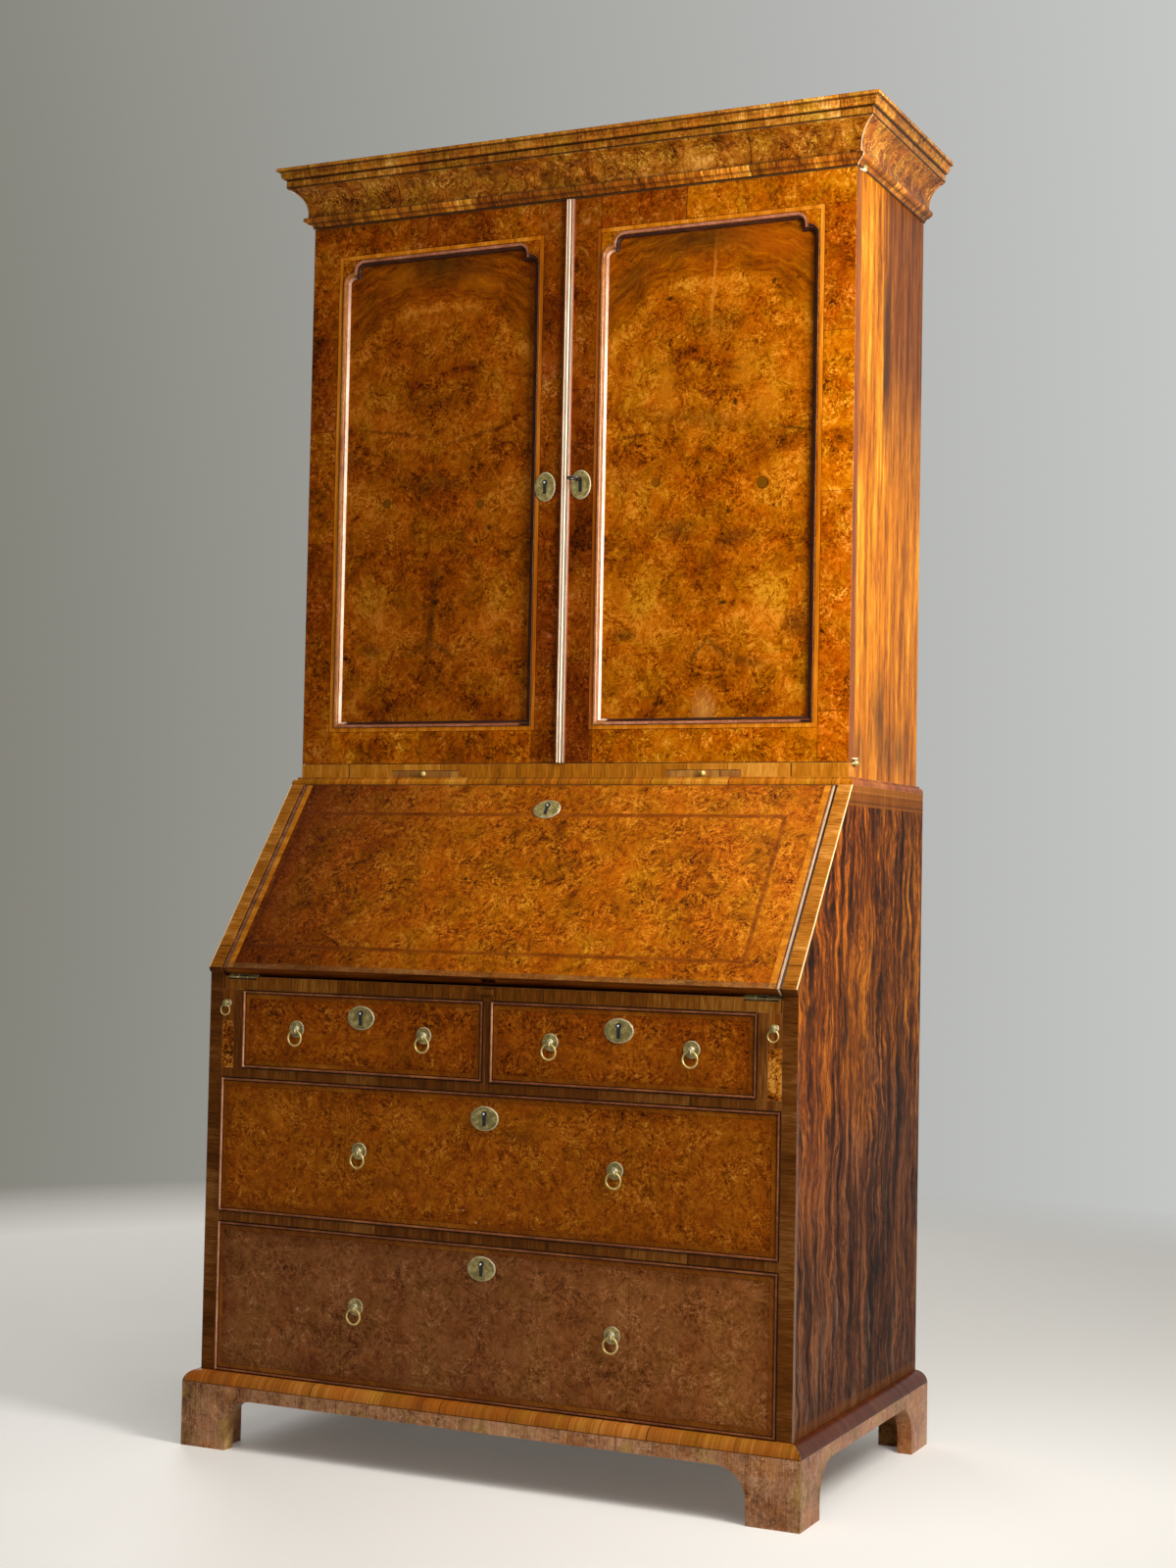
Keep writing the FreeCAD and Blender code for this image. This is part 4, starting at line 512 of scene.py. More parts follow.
def fall_material():
    """Fall front: burr field, a double feather line, burr border, pale strip inside the beaded edges."""
    material, tree = new_tree("fall_burr_walnut")
    spot, x, _, _ = place(tree)
    feather_x = (-0.4500, 0.4100)
    feather_up = (0.0400, 0.3200)
    strip_x = 0.4560
    bead_x = 0.4660
    up = from_lip(tree, spot, up_slope)
    deep = from_lip(tree, spot, into_slope)
    wide = add(tree, "Math", (x,), operation="ABSOLUTE")
    flat = add(tree, "CombineXYZ", (x, 0.3, up))
    leaf = add(tree, "CombineXYZ", (wide, 0.3, up))
    figure = burr(tree, flat, 0.9, leaf, 0.9, 1.0)
    colour = add(tree, "ValToRGB", (figure,), stops=BURR)
    colour = hue_drift(tree, leaf, colour, 60)
    # Painted light: a brighter patch right of the middle; painted shade: darker towards the left
    middle = mark(tree, spot, (130, 900), (300, 90), 0, 0.9)
    left = add(tree, "MapRange", (x, -0.05, -0.46, 0.0, 1.0))
    colour = layers(tree, colour, [(both(tree, left, 0.9), shaded(tree, colour, linear("#987CFF"))),
                                   (middle, shaded(tree, colour, (1.18, 1.26, 1.3, 1.0)))])
    feather, parting = (outline(tree, (x, up), feather_x, feather_up, inset, width, 0.0004)
                        for inset, width in ((0.0, 0.0080), (0.0036, 0.0008)))
    grain = straight_grain(tree, spot, (0.3, 1.0, 1.0), 1.6)
    feather_colour = add(tree, "ValToRGB", (grain,), stops=tones("#4A1A02", "#7C3A04", "#A65A10"))
    # Painted shade on the feather band towards the left
    feather_colour = layers(tree, feather_colour, [(left, shaded(tree, feather_colour, linear("#B0A0FF")))])
    strip = band(tree, wide, strip_x, bead_x)
    strip_colour = add(tree, "ValToRGB", (grain,), stops=tones("#7A3C04", "#B0660C", "#D08C2C"))
    bead = band(tree, wide, bead_x, bureau_half)
    bead_colour = add(tree, "ValToRGB", (grain,), stops=tones("#3E1E0A", "#6E3E1C", "#9A6634"))
    # Painted highlight along the right bead, painted shadow in the gap beside it
    pale = band(tree, x, 0.4690, 0.4720, 0.0002)
    gap_shadow = band(tree, x, 0.4730, bureau_half, 0.0003)
    bead_colour = layers(tree, bead_colour, [(pale, linear("#F0D0A8")), (gap_shadow, linear("#0C0402"))])
    lip_line = band(tree, up, -0.1, 0.0090)
    lip_colour = add(tree, "ValToRGB", (grain,), stops=tones("#3E2410", "#6E4A26", "#9A7444"))
    back = both(tree, add(tree, "MapRange", (deep, 0.0015, 0.0020)), band(tree, wide, -1, bead_x - 0.0005))
    plain = straight_grain(tree, spot, (0.04, 1.0, 1.0), 3.0)
    plain = add(tree, "ValToRGB", (plain,), stops=RED_GRAIN)
    colour = layers(tree, colour, [(both(tree, feather, 0.85), feather_colour),
                                   (both(tree, parting, 0.7), linear("#2A0E00")), (strip, strip_colour),
                                   (both(tree, lip_line, 0.6), lip_colour), (bead, bead_colour),
                                   (back, plain)])
    polish(tree, colour, figure, coat=weigh(tree, [(bead, 0.15)], 0.04))
    return material


def drawer_material(name, half, middle, ends, stops, tint=PLAIN, right_tint=PLAIN, marks=(), crisp=0.90):
    """Drawer: burr front with a feather band inside the cock bead, red-brown bead, plain oak box."""
    material, tree = new_tree(name)
    low, high = ends
    spot, x, y, z = place(tree)
    away = add(tree, "Math", (x, middle), operation="SUBTRACT")
    turned = add(tree, "Math", (x, 0.244), operation="PINGPONG")
    leaf = add(tree, "CombineXYZ", (turned, low, z))
    flat = add(tree, "CombineXYZ", (x, low, z))
    figure = weigh(tree, [(burr(tree, flat, 0.9, leaf, 0.6, crisp), 0.80)], 0.10)
    colour = add(tree, "ValToRGB", (figure,), stops=stops)
    colour = layers(tree, colour, [(0.5, hue_drift(tree, leaf, colour, 45))])
    colour = shaded(tree, colour, tint)
    right = add(tree, "MapRange", (away, 0.0, half * 0.8))
    colour = layers(tree, colour, [(right, shaded(tree, colour, right_tint))])
    seam = band(tree, turned, 0.0006, 0.2434, 0.0003)
    seam = add(tree, "MapRange", (seam, 0.0, 1.0, 0.45, 0.0))
    colour = layers(tree, colour, [(seam, linear("#3A1A02"))])
    colour = marked(tree, spot, colour, marks)
    # Painted shade: the front darker towards its border
    calm = both(tree, band(tree, away, 0.020 - half, half - 0.020, 0.016),
                band(tree, z, low + 0.018, high - 0.018, 0.016))
    darkening = add(tree, "MapRange", (calm, 0.0, 1.0, 0.65, 0.0))
    colour = layers(tree, colour, [(darkening, shaded(tree, colour, linear("#B89880")))])
    border, outer_gap, inner_gap, feather, parting = (
        outline(tree, (away, z), (-half, half), ends, inset, width)
        for inset, width in ((-0.0010, 0.0052), (-0.0010, 0.0020), (0.0041, 0.0014), (0.0055, 0.0070),
                             (0.0122, 0.0008)))
    across = add(tree, "Math", (x, z), operation="ADD")
    feather_grain = cross_grain(tree, across, y, 0.090, 1.8)[0]
    feather_colour = add(tree, "ValToRGB", (feather_grain,), stops=tones("#4E2404", "#84460A", "#B0701C"))
    proud = add(tree, "MapRange", (y, drawer_face_y - 0.0002, drawer_face_y - 0.0001, 1.0, 0.0))
    border = both(tree, border, band(tree, y, -1.0, drawer_face_y + 0.009, 0.0001))
    bead = add(tree, "Math", (border, proud), operation="MAXIMUM")
    bead_grain = straight_grain(tree, spot, (0.2, 1.0, 0.2), 1.4)
    # Painted highlight: the bead lighter on the left side of the front
    left = add(tree, "MapRange", (away, 0.006 - half, 0.005 - half))
    bead_colour = add(tree, "ValToRGB", (bead_grain,), stops=tones("#4A2010", "#7E4422", "#A86838"))
    bright = add(tree, "ValToRGB", (bead_grain,), stops=tones("#8A4E30", "#C08058", "#E0A880"))
    bead_colour = layers(tree, bead_colour, [(left, bright)])
    # Painted shade in the narrow gaps on each side of the cock bead
    gap = add(tree, "Math", (outer_gap, inner_gap), operation="MAXIMUM")
    box = add(tree, "MapRange", (y, drawer_face_y + 0.0088, drawer_face_y + 0.0092))
    oak = straight_grain(tree, spot, (1.0, 0.04, 1.0), 3.0)
    oak = add(tree, "ValToRGB", (oak,), stops=OAK)
    colour = layers(tree, colour, [(both(tree, feather, 0.6), feather_colour),
                                   (both(tree, parting, 0.5), linear("#2A1002")), (bead, bead_colour),
                                   (both(tree, gap, 0.9), linear("#140602")), (box, oak)])
    polish(tree, colour, figure, coat=weigh(tree, [(bead, 0.3)], 0.03))
    return material


def moulding_material(name, face, piece, stops, side_tint="#FFFFFF", burr_share=0.0, contrast=1.0, dark=(),
                      pale=(), mitre_highlight=0.0, reed=()):
    """Cross-grain walnut moulding in short pieces, with painted shade in its quirks, a painted highlight
    along its arrises and one along its mitred front corners. Its dark lines of painted shade and its pale
    lines of painted highlight are given by height, half width and strength.
    """
    material, tree = new_tree(name)
    spot, x, y, z = place(tree)
    along, up, side = mirrored_run(tree, x, y, z, *face)
    grain, joint = cross_grain(tree, along, up, piece)
    figure = burr(tree, spot, 0.9, crisp=0.65)
    value = weigh(tree, [(grain, contrast * (1.0 - burr_share)), (figure, contrast * burr_share)],
                  0.5 - 0.5 * contrast)
    if reed:
        value = add(tree, "Mix", {0: band(tree, z, *reed), 2: value, 3: grain})
    colour = add(tree, "ValToRGB", (value,), stops=stops)
    colour = hue_drift(tree, spot, colour, 50)
    tint = add(tree, "Mix", {0: side, 6: PLAIN, 7: linear(side_tint)}, **COLOUR)
    colour = shaded(tree, colour, tint)
    colour = layers(tree, colour, [(both(tree, joint, 0.75), linear("#2A1002"))])
    # Dark lines are painted shade in the quirks, pale lines a painted highlight on the arrises
    for lines, worn_and_highlit in ((dark, False), (pale, True)):
        for height, half, strength in lines:
            line = both(tree, band(tree, z, height - half, height + half), strength)
            line_colour = shaded(tree, colour, (1.7, 1.9, 2.4, 1.0)) if worn_and_highlit else linear("#180802")
            colour = layers(tree, colour, [(line, line_colour)])
    # Painted highlight along the mitred corner
    if mitre_highlight:
        wide = add(tree, "Math", (x,), operation="ABSOLUTE")
        skew = weigh(tree, [(wide, 1.0), (y, 1.0)], -face[0] - face[1])
        corner = both(tree, band(tree, skew, -0.0012, 0.0008), mitre_highlight)
        colour = layers(tree, colour, [(corner, linear("#F0C8A0"))])
    polish(tree, colour, value, coat=0.12)
    return material


def rail_material(name, stops, piece):
    """Narrow front strip of cross-grain walnut, each piece of its own tone."""
    material, tree = new_tree(name)
    x, _, z = place(tree)[1:]
    grain, joint = cross_grain(tree, x, z, piece)
    grain = weigh(tree, [(grain, 0.8)], 0.1)
    colour = add(tree, "ValToRGB", (grain,), stops=stops)
    colour = layers(tree, colour, [(both(tree, joint, 0.8), linear("#1E0A02"))])
    polish(tree, colour, grain)
    return material


def bureau_side_material():
    """Walnut side: orange-brown above, purple-brown and rubbed grey below, black streaks and knots, banded
    edges.
    """
    material, tree = new_tree("bureau_side_walnut")
    spot, x, y, z = place(tree)
    drift = add(tree, "TexNoise", {"Vector": spot, "Scale": per(140), "Detail": 3.0}, out=1)
    wavy = add(tree, "VectorMath", (drift, (0.0, 0.090, 0.0), spot), operation="MULTIPLY_ADD")
    grain = straight_grain(tree, wavy, (1.0, 1.0, 0.05), 2.2)
    figure = burr(tree, add(tree, "Mapping", {"Vector": wavy, "Scale": (1.0, 1.0, 0.28)}), 1.0)
    grain = weigh(tree, [(grain, 1.2), (figure, 0.75)], -0.46)
    colour = add(tree, "ValToRGB", (grain,), stops=tones("#0C0401", "#381802", "#6A3200", "#A86008"))
    lower = add(tree, "ValToRGB", (grain,), stops=tones("#0A0402", "#321608", "#582C10", "#824E28"))
    low = add(tree, "MapRange", (z, 0.82, 0.38))
    wander = add(tree, "TexNoise", {"Vector": spot, "Scale": per(130), "Detail": 4.0, "Roughness": 0.6})
    low = add(tree, "MapRange", (weigh(tree, [(low, 1.0), (wander, 1.2)], -0.60), 0.30, 0.70))
    slow = add(tree, "Mapping", {"Vector": wavy, "Scale": (1.0, 1.0, 0.15)})
    tar = add(tree, "TexNoise", {"Vector": slow, "Scale": per(34), "Detail": 5.0, "Roughness": 0.70,
                                 "Distortion": 0.9})
    tar = add(tree, "MapRange", (tar, 0.52, 0.62))
    bare_and_lit = add(tree, "TexNoise", {"Vector": slow, "Scale": per(24), "Detail": 5.0, "Roughness": 0.72})
    bare_and_lit = both(tree, add(tree, "MapRange", (bare_and_lit, 0.56, 0.68)), add(tree, "MapRange", (z, 0.60, 0.20)))
    sunny = both(tree, add(tree, "MapRange", (z, 0.74, 0.92)), add(tree, "MapRange", (y, 0.20, -0.05)))
    glow = both(tree, add(tree, "MapRange", (z, 0.34, 0.60)), add(tree, "MapRange", (y, 0.02, -0.20)), 0.5)
    colour = layers(tree, colour, [(low, lower), (sunny, shaded(tree, colour, (0.96, 0.80, 0.7, 1.0))),
                                   (glow, shaded(tree, colour, (1.25, 1.05, 0.6, 1.0))),
                                   (both(tree, tar, 0.85), linear("#0E0602")),
                                   (both(tree, bare_and_lit, 0.45), linear("#90745E"))])
    rough = add(tree, "TexNoise", {"Vector": spot, "Scale": per(14), "Detail": 2.0}, out=1)
    near = add(tree, "VectorMath", (rough, (0.014,) * 3, spot), operation="MULTIPLY_ADD")
    knots = ((0.06, 0.800, 0.011), (-0.14, 0.560, 0.009), (0.10, 0.330, 0.012), (-0.05, 0.900, 0.007))
    for at_y, at_z, size in knots:
        knot = add(tree, "Mapping", {"Vector": near, "Location": (0.0, at_y, at_z),
                                     "Scale": (1000.0, size, size * 2.2)}, vector_type="TEXTURE")
        knot = add(tree, "VectorMath", (knot,), out="Value", operation="LENGTH")
        knot = add(tree, "MapRange", (knot, 0.5, 1.4, 0.85, 0.0))
        colour = layers(tree, colour, [(knot, linear("#120602"))])
    front, joint = cross_grain(tree, z, x, 0.110)
    crossband = add(tree, "ValToRGB", (front,), stops=tones("#381A06", "#6E3A0C", "#9A5E20"))
    stile = add(tree, "ValToRGB", (front,), stops=tones("#3C1E0A", "#683A14", "#906030"))
    arris = add(tree, "ValToRGB", (front,), stops=tones("#5A2C08", "#9C5E1A", "#D09448"))
    wide = add(tree, "Math", (x,), operation="ABSOLUTE")
    # Painted highlight along the outer arris of the slope strip
    outside = add(tree, "MapRange", (wide, bureau_half - 0.0022, bureau_half - 0.0016))
    arris = layers(tree, arris, [(both(tree, joint, 0.8), linear("#1E0A02")), (outside, linear("#F0C890"))])
    strip = add(tree, "MapRange", (y, drawer_face_y + 0.0004, drawer_face_y + 0.0002))
    on_slope = add(tree, "MapRange", (from_lip(tree, spot, into_slope), 0.0006, 0.0003))
    top = band(tree, z, 1.0270, 1.1)
    foot = band(tree, z, 0.1180, 0.1350)
    edge = both(tree, add(tree, "MapRange", (y, drawer_face_y + 0.012, drawer_face_y + 0.006)),
                add(tree, "MapRange", (z, 0.70, 0.30)))
    colour = layers(tree, colour, [(both(tree, top, 0.85), crossband), (both(tree, foot, 0.5), crossband),
                                   (both(tree, edge, 0.6), linear("#8C7464")), (strip, stile),
                                   (on_slope, arris)])
    # Colour of the lighter arrises: rubbed wood and a painted highlight
    polish(tree, colour, grain, roughness=0.42, coat=0.0, gloss=0.03, wear_and_highlight=linear("#C08048"))
    return material


def bookcase_side_material():
    """Golden straight-grained walnut side with fine dark streaks, darker towards the back."""
    material, tree = new_tree("bookcase_side_walnut")
    spot, _, y, z = place(tree)
    grain = straight_grain(tree, spot, (1.0, 1.0, 0.07), 1.7)
    grain = weigh(tree, [(grain, 1.1)], -0.06)
    colour = add(tree, "ValToRGB", (grain,), stops=tones("#4A2000", "#8E4A00", "#BC6C00", "#E09C28"))
    slow = add(tree, "Mapping", {"Vector": spot, "Scale": (1.0, 1.0, 0.10)})
    streak = add(tree, "TexNoise", {"Vector": slow, "Scale": per(8), "Detail": 5.0, "Roughness": 0.72,
                                    "Distortion": 0.7})
    streak = add(tree, "MapRange", (streak, 0.52, 0.62))
    wander = add(tree, "TexNoise", {"Vector": slow, "Scale": per(60), "Detail": 4.0, "Roughness": 0.6})
    line = weigh(tree, [(wander, 0.16)], y)
    rear = add(tree, "MapRange", (line, 0.160, 0.200))
    upper = add(tree, "MapRange", (z, 1.50, 1.75))
    dark = shaded(tree, colour, linear("#A49494"))
    smudge = both(tree, add(tree, "MapRange", (wander, 0.45, 0.6)), band(tree, z, 1.09, 1.15, 0.02))
    patches = add(tree, "Math", (band(tree, z, 1.64, 1.88, 0.06), band(tree, z, 1.13, 1.22, 0.05)),
                  operation="MAXIMUM")
    heart = both(tree, add(tree, "MapRange", (line, 0.145, 0.165)),
                 add(tree, "MapRange", (line, 0.220, 0.180)), patches)
    colour = layers(tree, colour, [(both(tree, rear, upper), dark),
                                   (both(tree, streak, 0.6), linear("#5A2A02")),
                                   (both(tree, heart, 0.85), linear("#1E0E02")),
                                   (both(tree, smudge, 0.6), linear("#3A1A04"))])
    polish(tree, colour, grain, coat=0.0, gloss=0.08)
    return material


def plain_wood(name, stops, squash, width, roughness=0.5, coat=0.0, board=0.0):
    """Straight-grained wood, sawn and planed; boards that meet have own tones, dark joints and nails."""
    material, tree = new_tree(name)
    spot, x, _, z = place(tree)
    grain = straight_grain(tree, spot, squash, width)
    colour = add(tree, "ValToRGB", (grain,), stops=stops)
    if board:
        number = add(tree, "Math", (x, board), operation="DIVIDE")
        number = add(tree, "Math", (number,), operation="FLOOR")
        own = add(tree, "TexWhiteNoise", {"W": number}, noise_dimensions="1D")
        own = add(tree, "MapRange", (own, 0.0, 1.0, 0.0, 0.8))
        across = add(tree, "Math", (x, board / 2), operation="PINGPONG")
        joint = add(tree, "MapRange", (across, 0.0006, 0.0012, 0.9, 0.0))
        rise = add(tree, "Math", (z, 0.130), operation="PINGPONG")
        nail = add(tree, "CombineXYZ", (weigh(tree, [(across, 1.0)], -board / 4), 0.0, rise))
        nail = add(tree, "VectorMath", (nail,), out="Value", operation="LENGTH")
        rust = add(tree, "MapRange", (nail, 0.0030, 0.0075, 0.5, 0.0))
        nail = add(tree, "MapRange", (nail, 0.0026, 0.0030, 0.9, 0.0))
        colour = layers(tree, colour, [(own, shaded(tree, colour, linear("#C8B8A4"))),
                                       (joint, linear("#0E0804")), (rust, linear("#1E120A")),
                                       (nail, linear("#3A342E"))])
    polish(tree, colour, grain, roughness=roughness, coat=coat)
    return material


def runner_material():
    """Oak guides whose front ends below the lopers are faced with stained burr walnut."""
    material, tree = new_tree("oak_guides_faced_with_burr")
    spot, _, y, _ = place(tree)
    oak = straight_grain(tree, spot, (1.0, 0.04, 1.0), 4.0)
    colour = add(tree, "ValToRGB", (oak,), stops=OAK)
    figure = burr(tree, spot, 0.9)
    facing = add(tree, "ValToRGB", (weigh(tree, [(figure, 1.7)], -0.45),), stops=BURR_OLD)
    front = add(tree, "MapRange", (y, drawer_face_y + 0.0060, drawer_face_y + 0.0055))
    colour = layers(tree, colour, [(front, facing)])
    polish(tree, colour, figure)
    return material


def brass_material(name, tarnish, round_off):
    """Old cast and filed brass: dull olive tarnish in the hollows, rubbed bright on the high places, a
    painted highlight along its rims.
    """
    material, tree = new_tree(name)
    spot = add(tree, "TexCoord", out="Object")
    cloud = add(tree, "TexNoise", {"Vector": spot, "Scale": per(9), "Detail": 4.0})
    speck = add(tree, "TexNoise", {"Vector": spot, "Scale": per(1.6), "Detail": 3.0})
    dirt = weigh(tree, [(cloud, 1.4), (speck, 0.7)], -0.55)
    colour = add(tree, "ValToRGB", (dirt,), stops=tarnish)
    rough = add(tree, "MapRange", (dirt, 0.0, 1.0, 0.42, 0.26))
    bare_and_lit = add(tree, "MapRange", (dirt, 0.2, 0.9, 0.20, 0.45))
    true = add(tree, "NewGeometry", out="Normal")
    soft = add(tree, "Bevel", {"Radius": round_off}, samples=6)
    turn = add(tree, "VectorMath", (soft, true), out="Value", operation="DOT_PRODUCT")
    # Painted highlight along the rims
    edge = add(tree, "MapRange", (turn, 0.985, 0.92, 0.0, 0.9))
    open_air = add(tree, "AmbientOcclusion", {"Distance": 0.004}, out="AO", samples=4, only_local=True)
    hollow = add(tree, "MapRange", (open_air, 0.35, 0.70, 0.8, 0.0))
    colour = layers(tree, colour, [(edge, linear("#FFF2CC")), (hollow, linear("#2A2214"))])
    bump = add(tree, "Bump", {"Strength": 0.35, "Distance": 0.0002, "Height": dirt, "Normal": soft})
    shader = add(tree, "BsdfPrincipled", {"Base Color": colour, "Metallic": bare_and_lit, "Roughness": rough,
                                          "Normal": bump})
    add(tree, "OutputMaterial", (shader,), out=None)
    return material


def steel_material():
    """Dark forged steel of the key, polished by handling."""
    material, tree = new_tree("worn_steel")
    spot = add(tree, "TexCoord", out="Object")
    cloud = add(tree, "TexNoise", {"Vector": spot, "Scale": per(5), "Detail": 3.0})
    colour = add(tree, "ValToRGB", (cloud,), stops=tones("#2A2622", "#5C5650", "#8A847C"))
    bump = add(tree, "Bump", {"Strength": 0.3, "Distance": 0.0002, "Height": cloud})
    shader = add(tree, "BsdfPrincipled", {"Base Color": colour, "Metallic": 1.0, "Roughness": 0.3,
                                          "Normal": bump})
    add(tree, "OutputMaterial", (shader,), out=None)
    return material


def keyhole_shadow_material():
    """A near-black sheet as painted shadow: the dark depth of a keyhole."""
    material, tree = new_tree("keyhole_shadow_black")
    spot = add(tree, "TexCoord", out="Object")
    soot = add(tree, "TexNoise", {"Vector": spot, "Scale": per(2), "Detail": 3.0})
    colour = add(tree, "ValToRGB", (soot,), stops=tones("#050403", "#14100C"))
    shader = add(tree, "BsdfPrincipled", {"Base Color": colour, "Roughness": 0.7})
    add(tree, "OutputMaterial", (shader,), out=None)
    return material


def pin_material():
    """Turned steel pin, rubbed bright by the key."""
    material, tree = new_tree("bright_steel_pin")
    spot = add(tree, "TexCoord", out="Object")
    rub = add(tree, "TexNoise", {"Vector": spot, "Scale": per(1), "Detail": 2.0})
    colour = add(tree, "ValToRGB", (rub,), stops=tones("#C8C4BC", "#F0EEE8"))
    shader = add(tree, "BsdfPrincipled", {"Base Color": colour, "Metallic": 0.7, "Roughness": 0.25})
    add(tree, "OutputMaterial", (shader,), out=None)
    return material


def seen_rays(tree):
    """1 for the rays that show a thing to the camera, straight, through glass or as a reflection."""
    rays = add(tree, "LightPath", out=None).outputs
    seen = add(tree, "Math", (rays["Is Camera Ray"], rays["Is Transmission Ray"]), operation="MAXIMUM")
    return add(tree, "Math", (seen, rays["Is Glossy Ray"]), operation="MAXIMUM")


def floor_material(stage):
    """Painted concrete: pale, dull, faintly cloudy, fading out to the background at its rim."""
    material, tree = new_tree("pale_floor")
    spot = add(tree, "TexCoord", out="Object")
    reach = add(tree, "VectorMath", (spot,), out="Value", operation="LENGTH")
    fade = add(tree, "MapRange", (reach, stage.floor_radius * 0.72, stage.floor_radius * 0.98))
    cloud = add(tree, "TexNoise", {"Vector": spot, "Scale": per(300), "Detail": 5.0})
    rough = add(tree, "MapRange", (cloud, 0.0, 1.0, 0.5, 0.7))
    plain = add(tree, "BsdfPrincipled", {"Base Color": tuple(stage.floor_colour), "Roughness": rough})
    lift = add(tree, "Math", (seen_rays(tree), stage.floor_glow), operation="MULTIPLY")
    lift = add(tree, "Emission", (tuple(stage.floor_colour), lift))
    plain = add(tree, "AddShader", (plain, lift))
    clear = add(tree, "BsdfTransparent")
    mixed = add(tree, "MixShader", (fade, plain, clear))
    add(tree, "OutputMaterial", (mixed,), out=None)
    return material


def room(stage):
    """Background that is seen as a grey wall, paler on the right, and that lights the piece dimly."""
    world = bpy.data.worlds.new("pale_room")
    world.use_nodes = True
    tree = world.node_tree
    tree.nodes.clear()
    compass = add(tree, "TexCoord", out="Generated")
    east = add(tree, "SeparateXYZ", (compass,), out="X")
    glow = add(tree, "MapRange", (east, 0.0, 1.0, stage.ambient, stage.ambient_right))
    dim = add(tree, "Background", (linear("#F4F2EE"), glow))
    across = add(tree, "MapRange", (east, -0.66, -0.12))
    wall = add(tree, "Mix", {0: across, 6: tuple(stage.wall_left), 7: tuple(stage.wall_right)}, **COLOUR)
    wall = add(tree, "Background", (wall, 1.0))
    mixed = add(tree, "MixShader", (seen_rays(tree), dim, wall))
    add(tree, "OutputWorld", (mixed,), out=None)
    return world


def assign(material, *nodes):
    """Give CAD nodes a finish."""
    for name in nodes:
        for mesh_slot in frame["nodes"][name].material_slots:
            mesh_slot.material = material


class BUREAU_PG_stage(bpy.types.PropertyGroup):
    """Floor, light and background."""
    floor_radius: bpy.props.FloatProperty(
        name="Floor radius", description="Radius of the pale floor", default=3.4, unit="LENGTH")
    floor_colour: bpy.props.FloatVectorProperty(
        name="Floor", description="Colour of the floor", size=4, subtype="COLOR", default=linear("#F2EEE6"))
    floor_glow: bpy.props.FloatProperty(
        name="Floor lift", description="Paleness added to the seen floor", default=0.10)
    wall_left: bpy.props.FloatVectorProperty(
        name="Background left", description="Colour behind the piece, left", size=4, subtype="COLOR",
        default=linear("#807E74"))
    wall_right: bpy.props.FloatVectorProperty(
        name="Background right", description="Colour behind the piece, right", size=4, subtype="COLOR",
        default=linear("#CCCECD"))
    key_power: bpy.props.FloatProperty(
        name="Key light", description="Power of the soft light on the right", default=40.0, unit="POWER")
    top_power: bpy.props.FloatProperty(
        name="Top light", description="Power of the soft light above", default=56.0, unit="POWER")
    back_power: bpy.props.FloatProperty(
        name="Back light", description="Power of the soft light behind on the left", default=40.0,
        unit="POWER")
    front_power: bpy.props.FloatProperty(
        name="Front light", description="Power of the dim light that the brass shows", default=3.0,
        unit="POWER")
    ambient: bpy.props.FloatProperty(
        name="Ambient", description="Light of the room on the left", default=0.07)
    ambient_right: bpy.props.FloatProperty(
        name="Ambient right", description="Light of the room on the right", default=0.50)


class BUREAU_PG_finishes(bpy.types.PropertyGroup):
    """Colours of rubbed arrises with painted highlight and of dirt with painted shade, tints of the veneers,
    and tones of the brass.
    """
    # Colour of the arrises: rubbed wood and a painted highlight
    wear_and_highlight: bpy.props.FloatVectorProperty(
        name="Wear", description="Veneer rubbed bare on the arrises", size=4, subtype="COLOR",
        default=linear("#B98050"))
    # Colour of the darkening in the quirks: dirt and painted shade
    darkening: bpy.props.FloatVectorProperty(
        name="Grime", description="Dirt kept in the quirks", size=4, subtype="COLOR",
        default=linear("#1E0C04"))
    left_panel: bpy.props.FloatVectorProperty(
        name="Left panel", description="Tint of the left door's panel", size=4, subtype="COLOR",
        default=linear("#E4DCFF"))
    left_frame: bpy.props.FloatVectorProperty(
        name="Left frame", description="Tint of the left door's frame", size=4, subtype="COLOR",
        default=linear("#DCD0FF"))
    small_drawers: bpy.props.FloatVectorProperty(
        name="Small drawers", description="Tint of the two small drawers", size=4, subtype="COLOR",
        default=linear("#FFF6E8"))
    plate_dark: bpy.props.FloatVectorProperty(
        name="Plates, dark", description="Tarnish of the brass plates", size=4, subtype="COLOR",
        default=linear("#4A3E1C"))
    plate_middle: bpy.props.FloatVectorProperty(
        name="Plates, middle", description="Middle tone of the brass plates", size=4, subtype="COLOR",
        default=linear("#86763E"))
    plate_bright: bpy.props.FloatVectorProperty(
        name="Plates, bright", description="Cleanest brass of the plates", size=4, subtype="COLOR",
        default=linear("#D8C484"))
    ring_dark: bpy.props.FloatVectorProperty(
        name="Rings, dark", description="Tarnish of the rings and knobs", size=4, subtype="COLOR",
        default=linear("#7E6A30"))
    ring_middle: bpy.props.FloatVectorProperty(
        name="Rings, middle", description="Middle tone of the rings and knobs", size=4, subtype="COLOR",
        default=linear("#C4AA5C"))
    ring_bright: bpy.props.FloatVectorProperty(
        name="Rings, bright", description="Cleanest brass of the rings and knobs", size=4, subtype="COLOR",
        default=linear("#F6E4A8"))


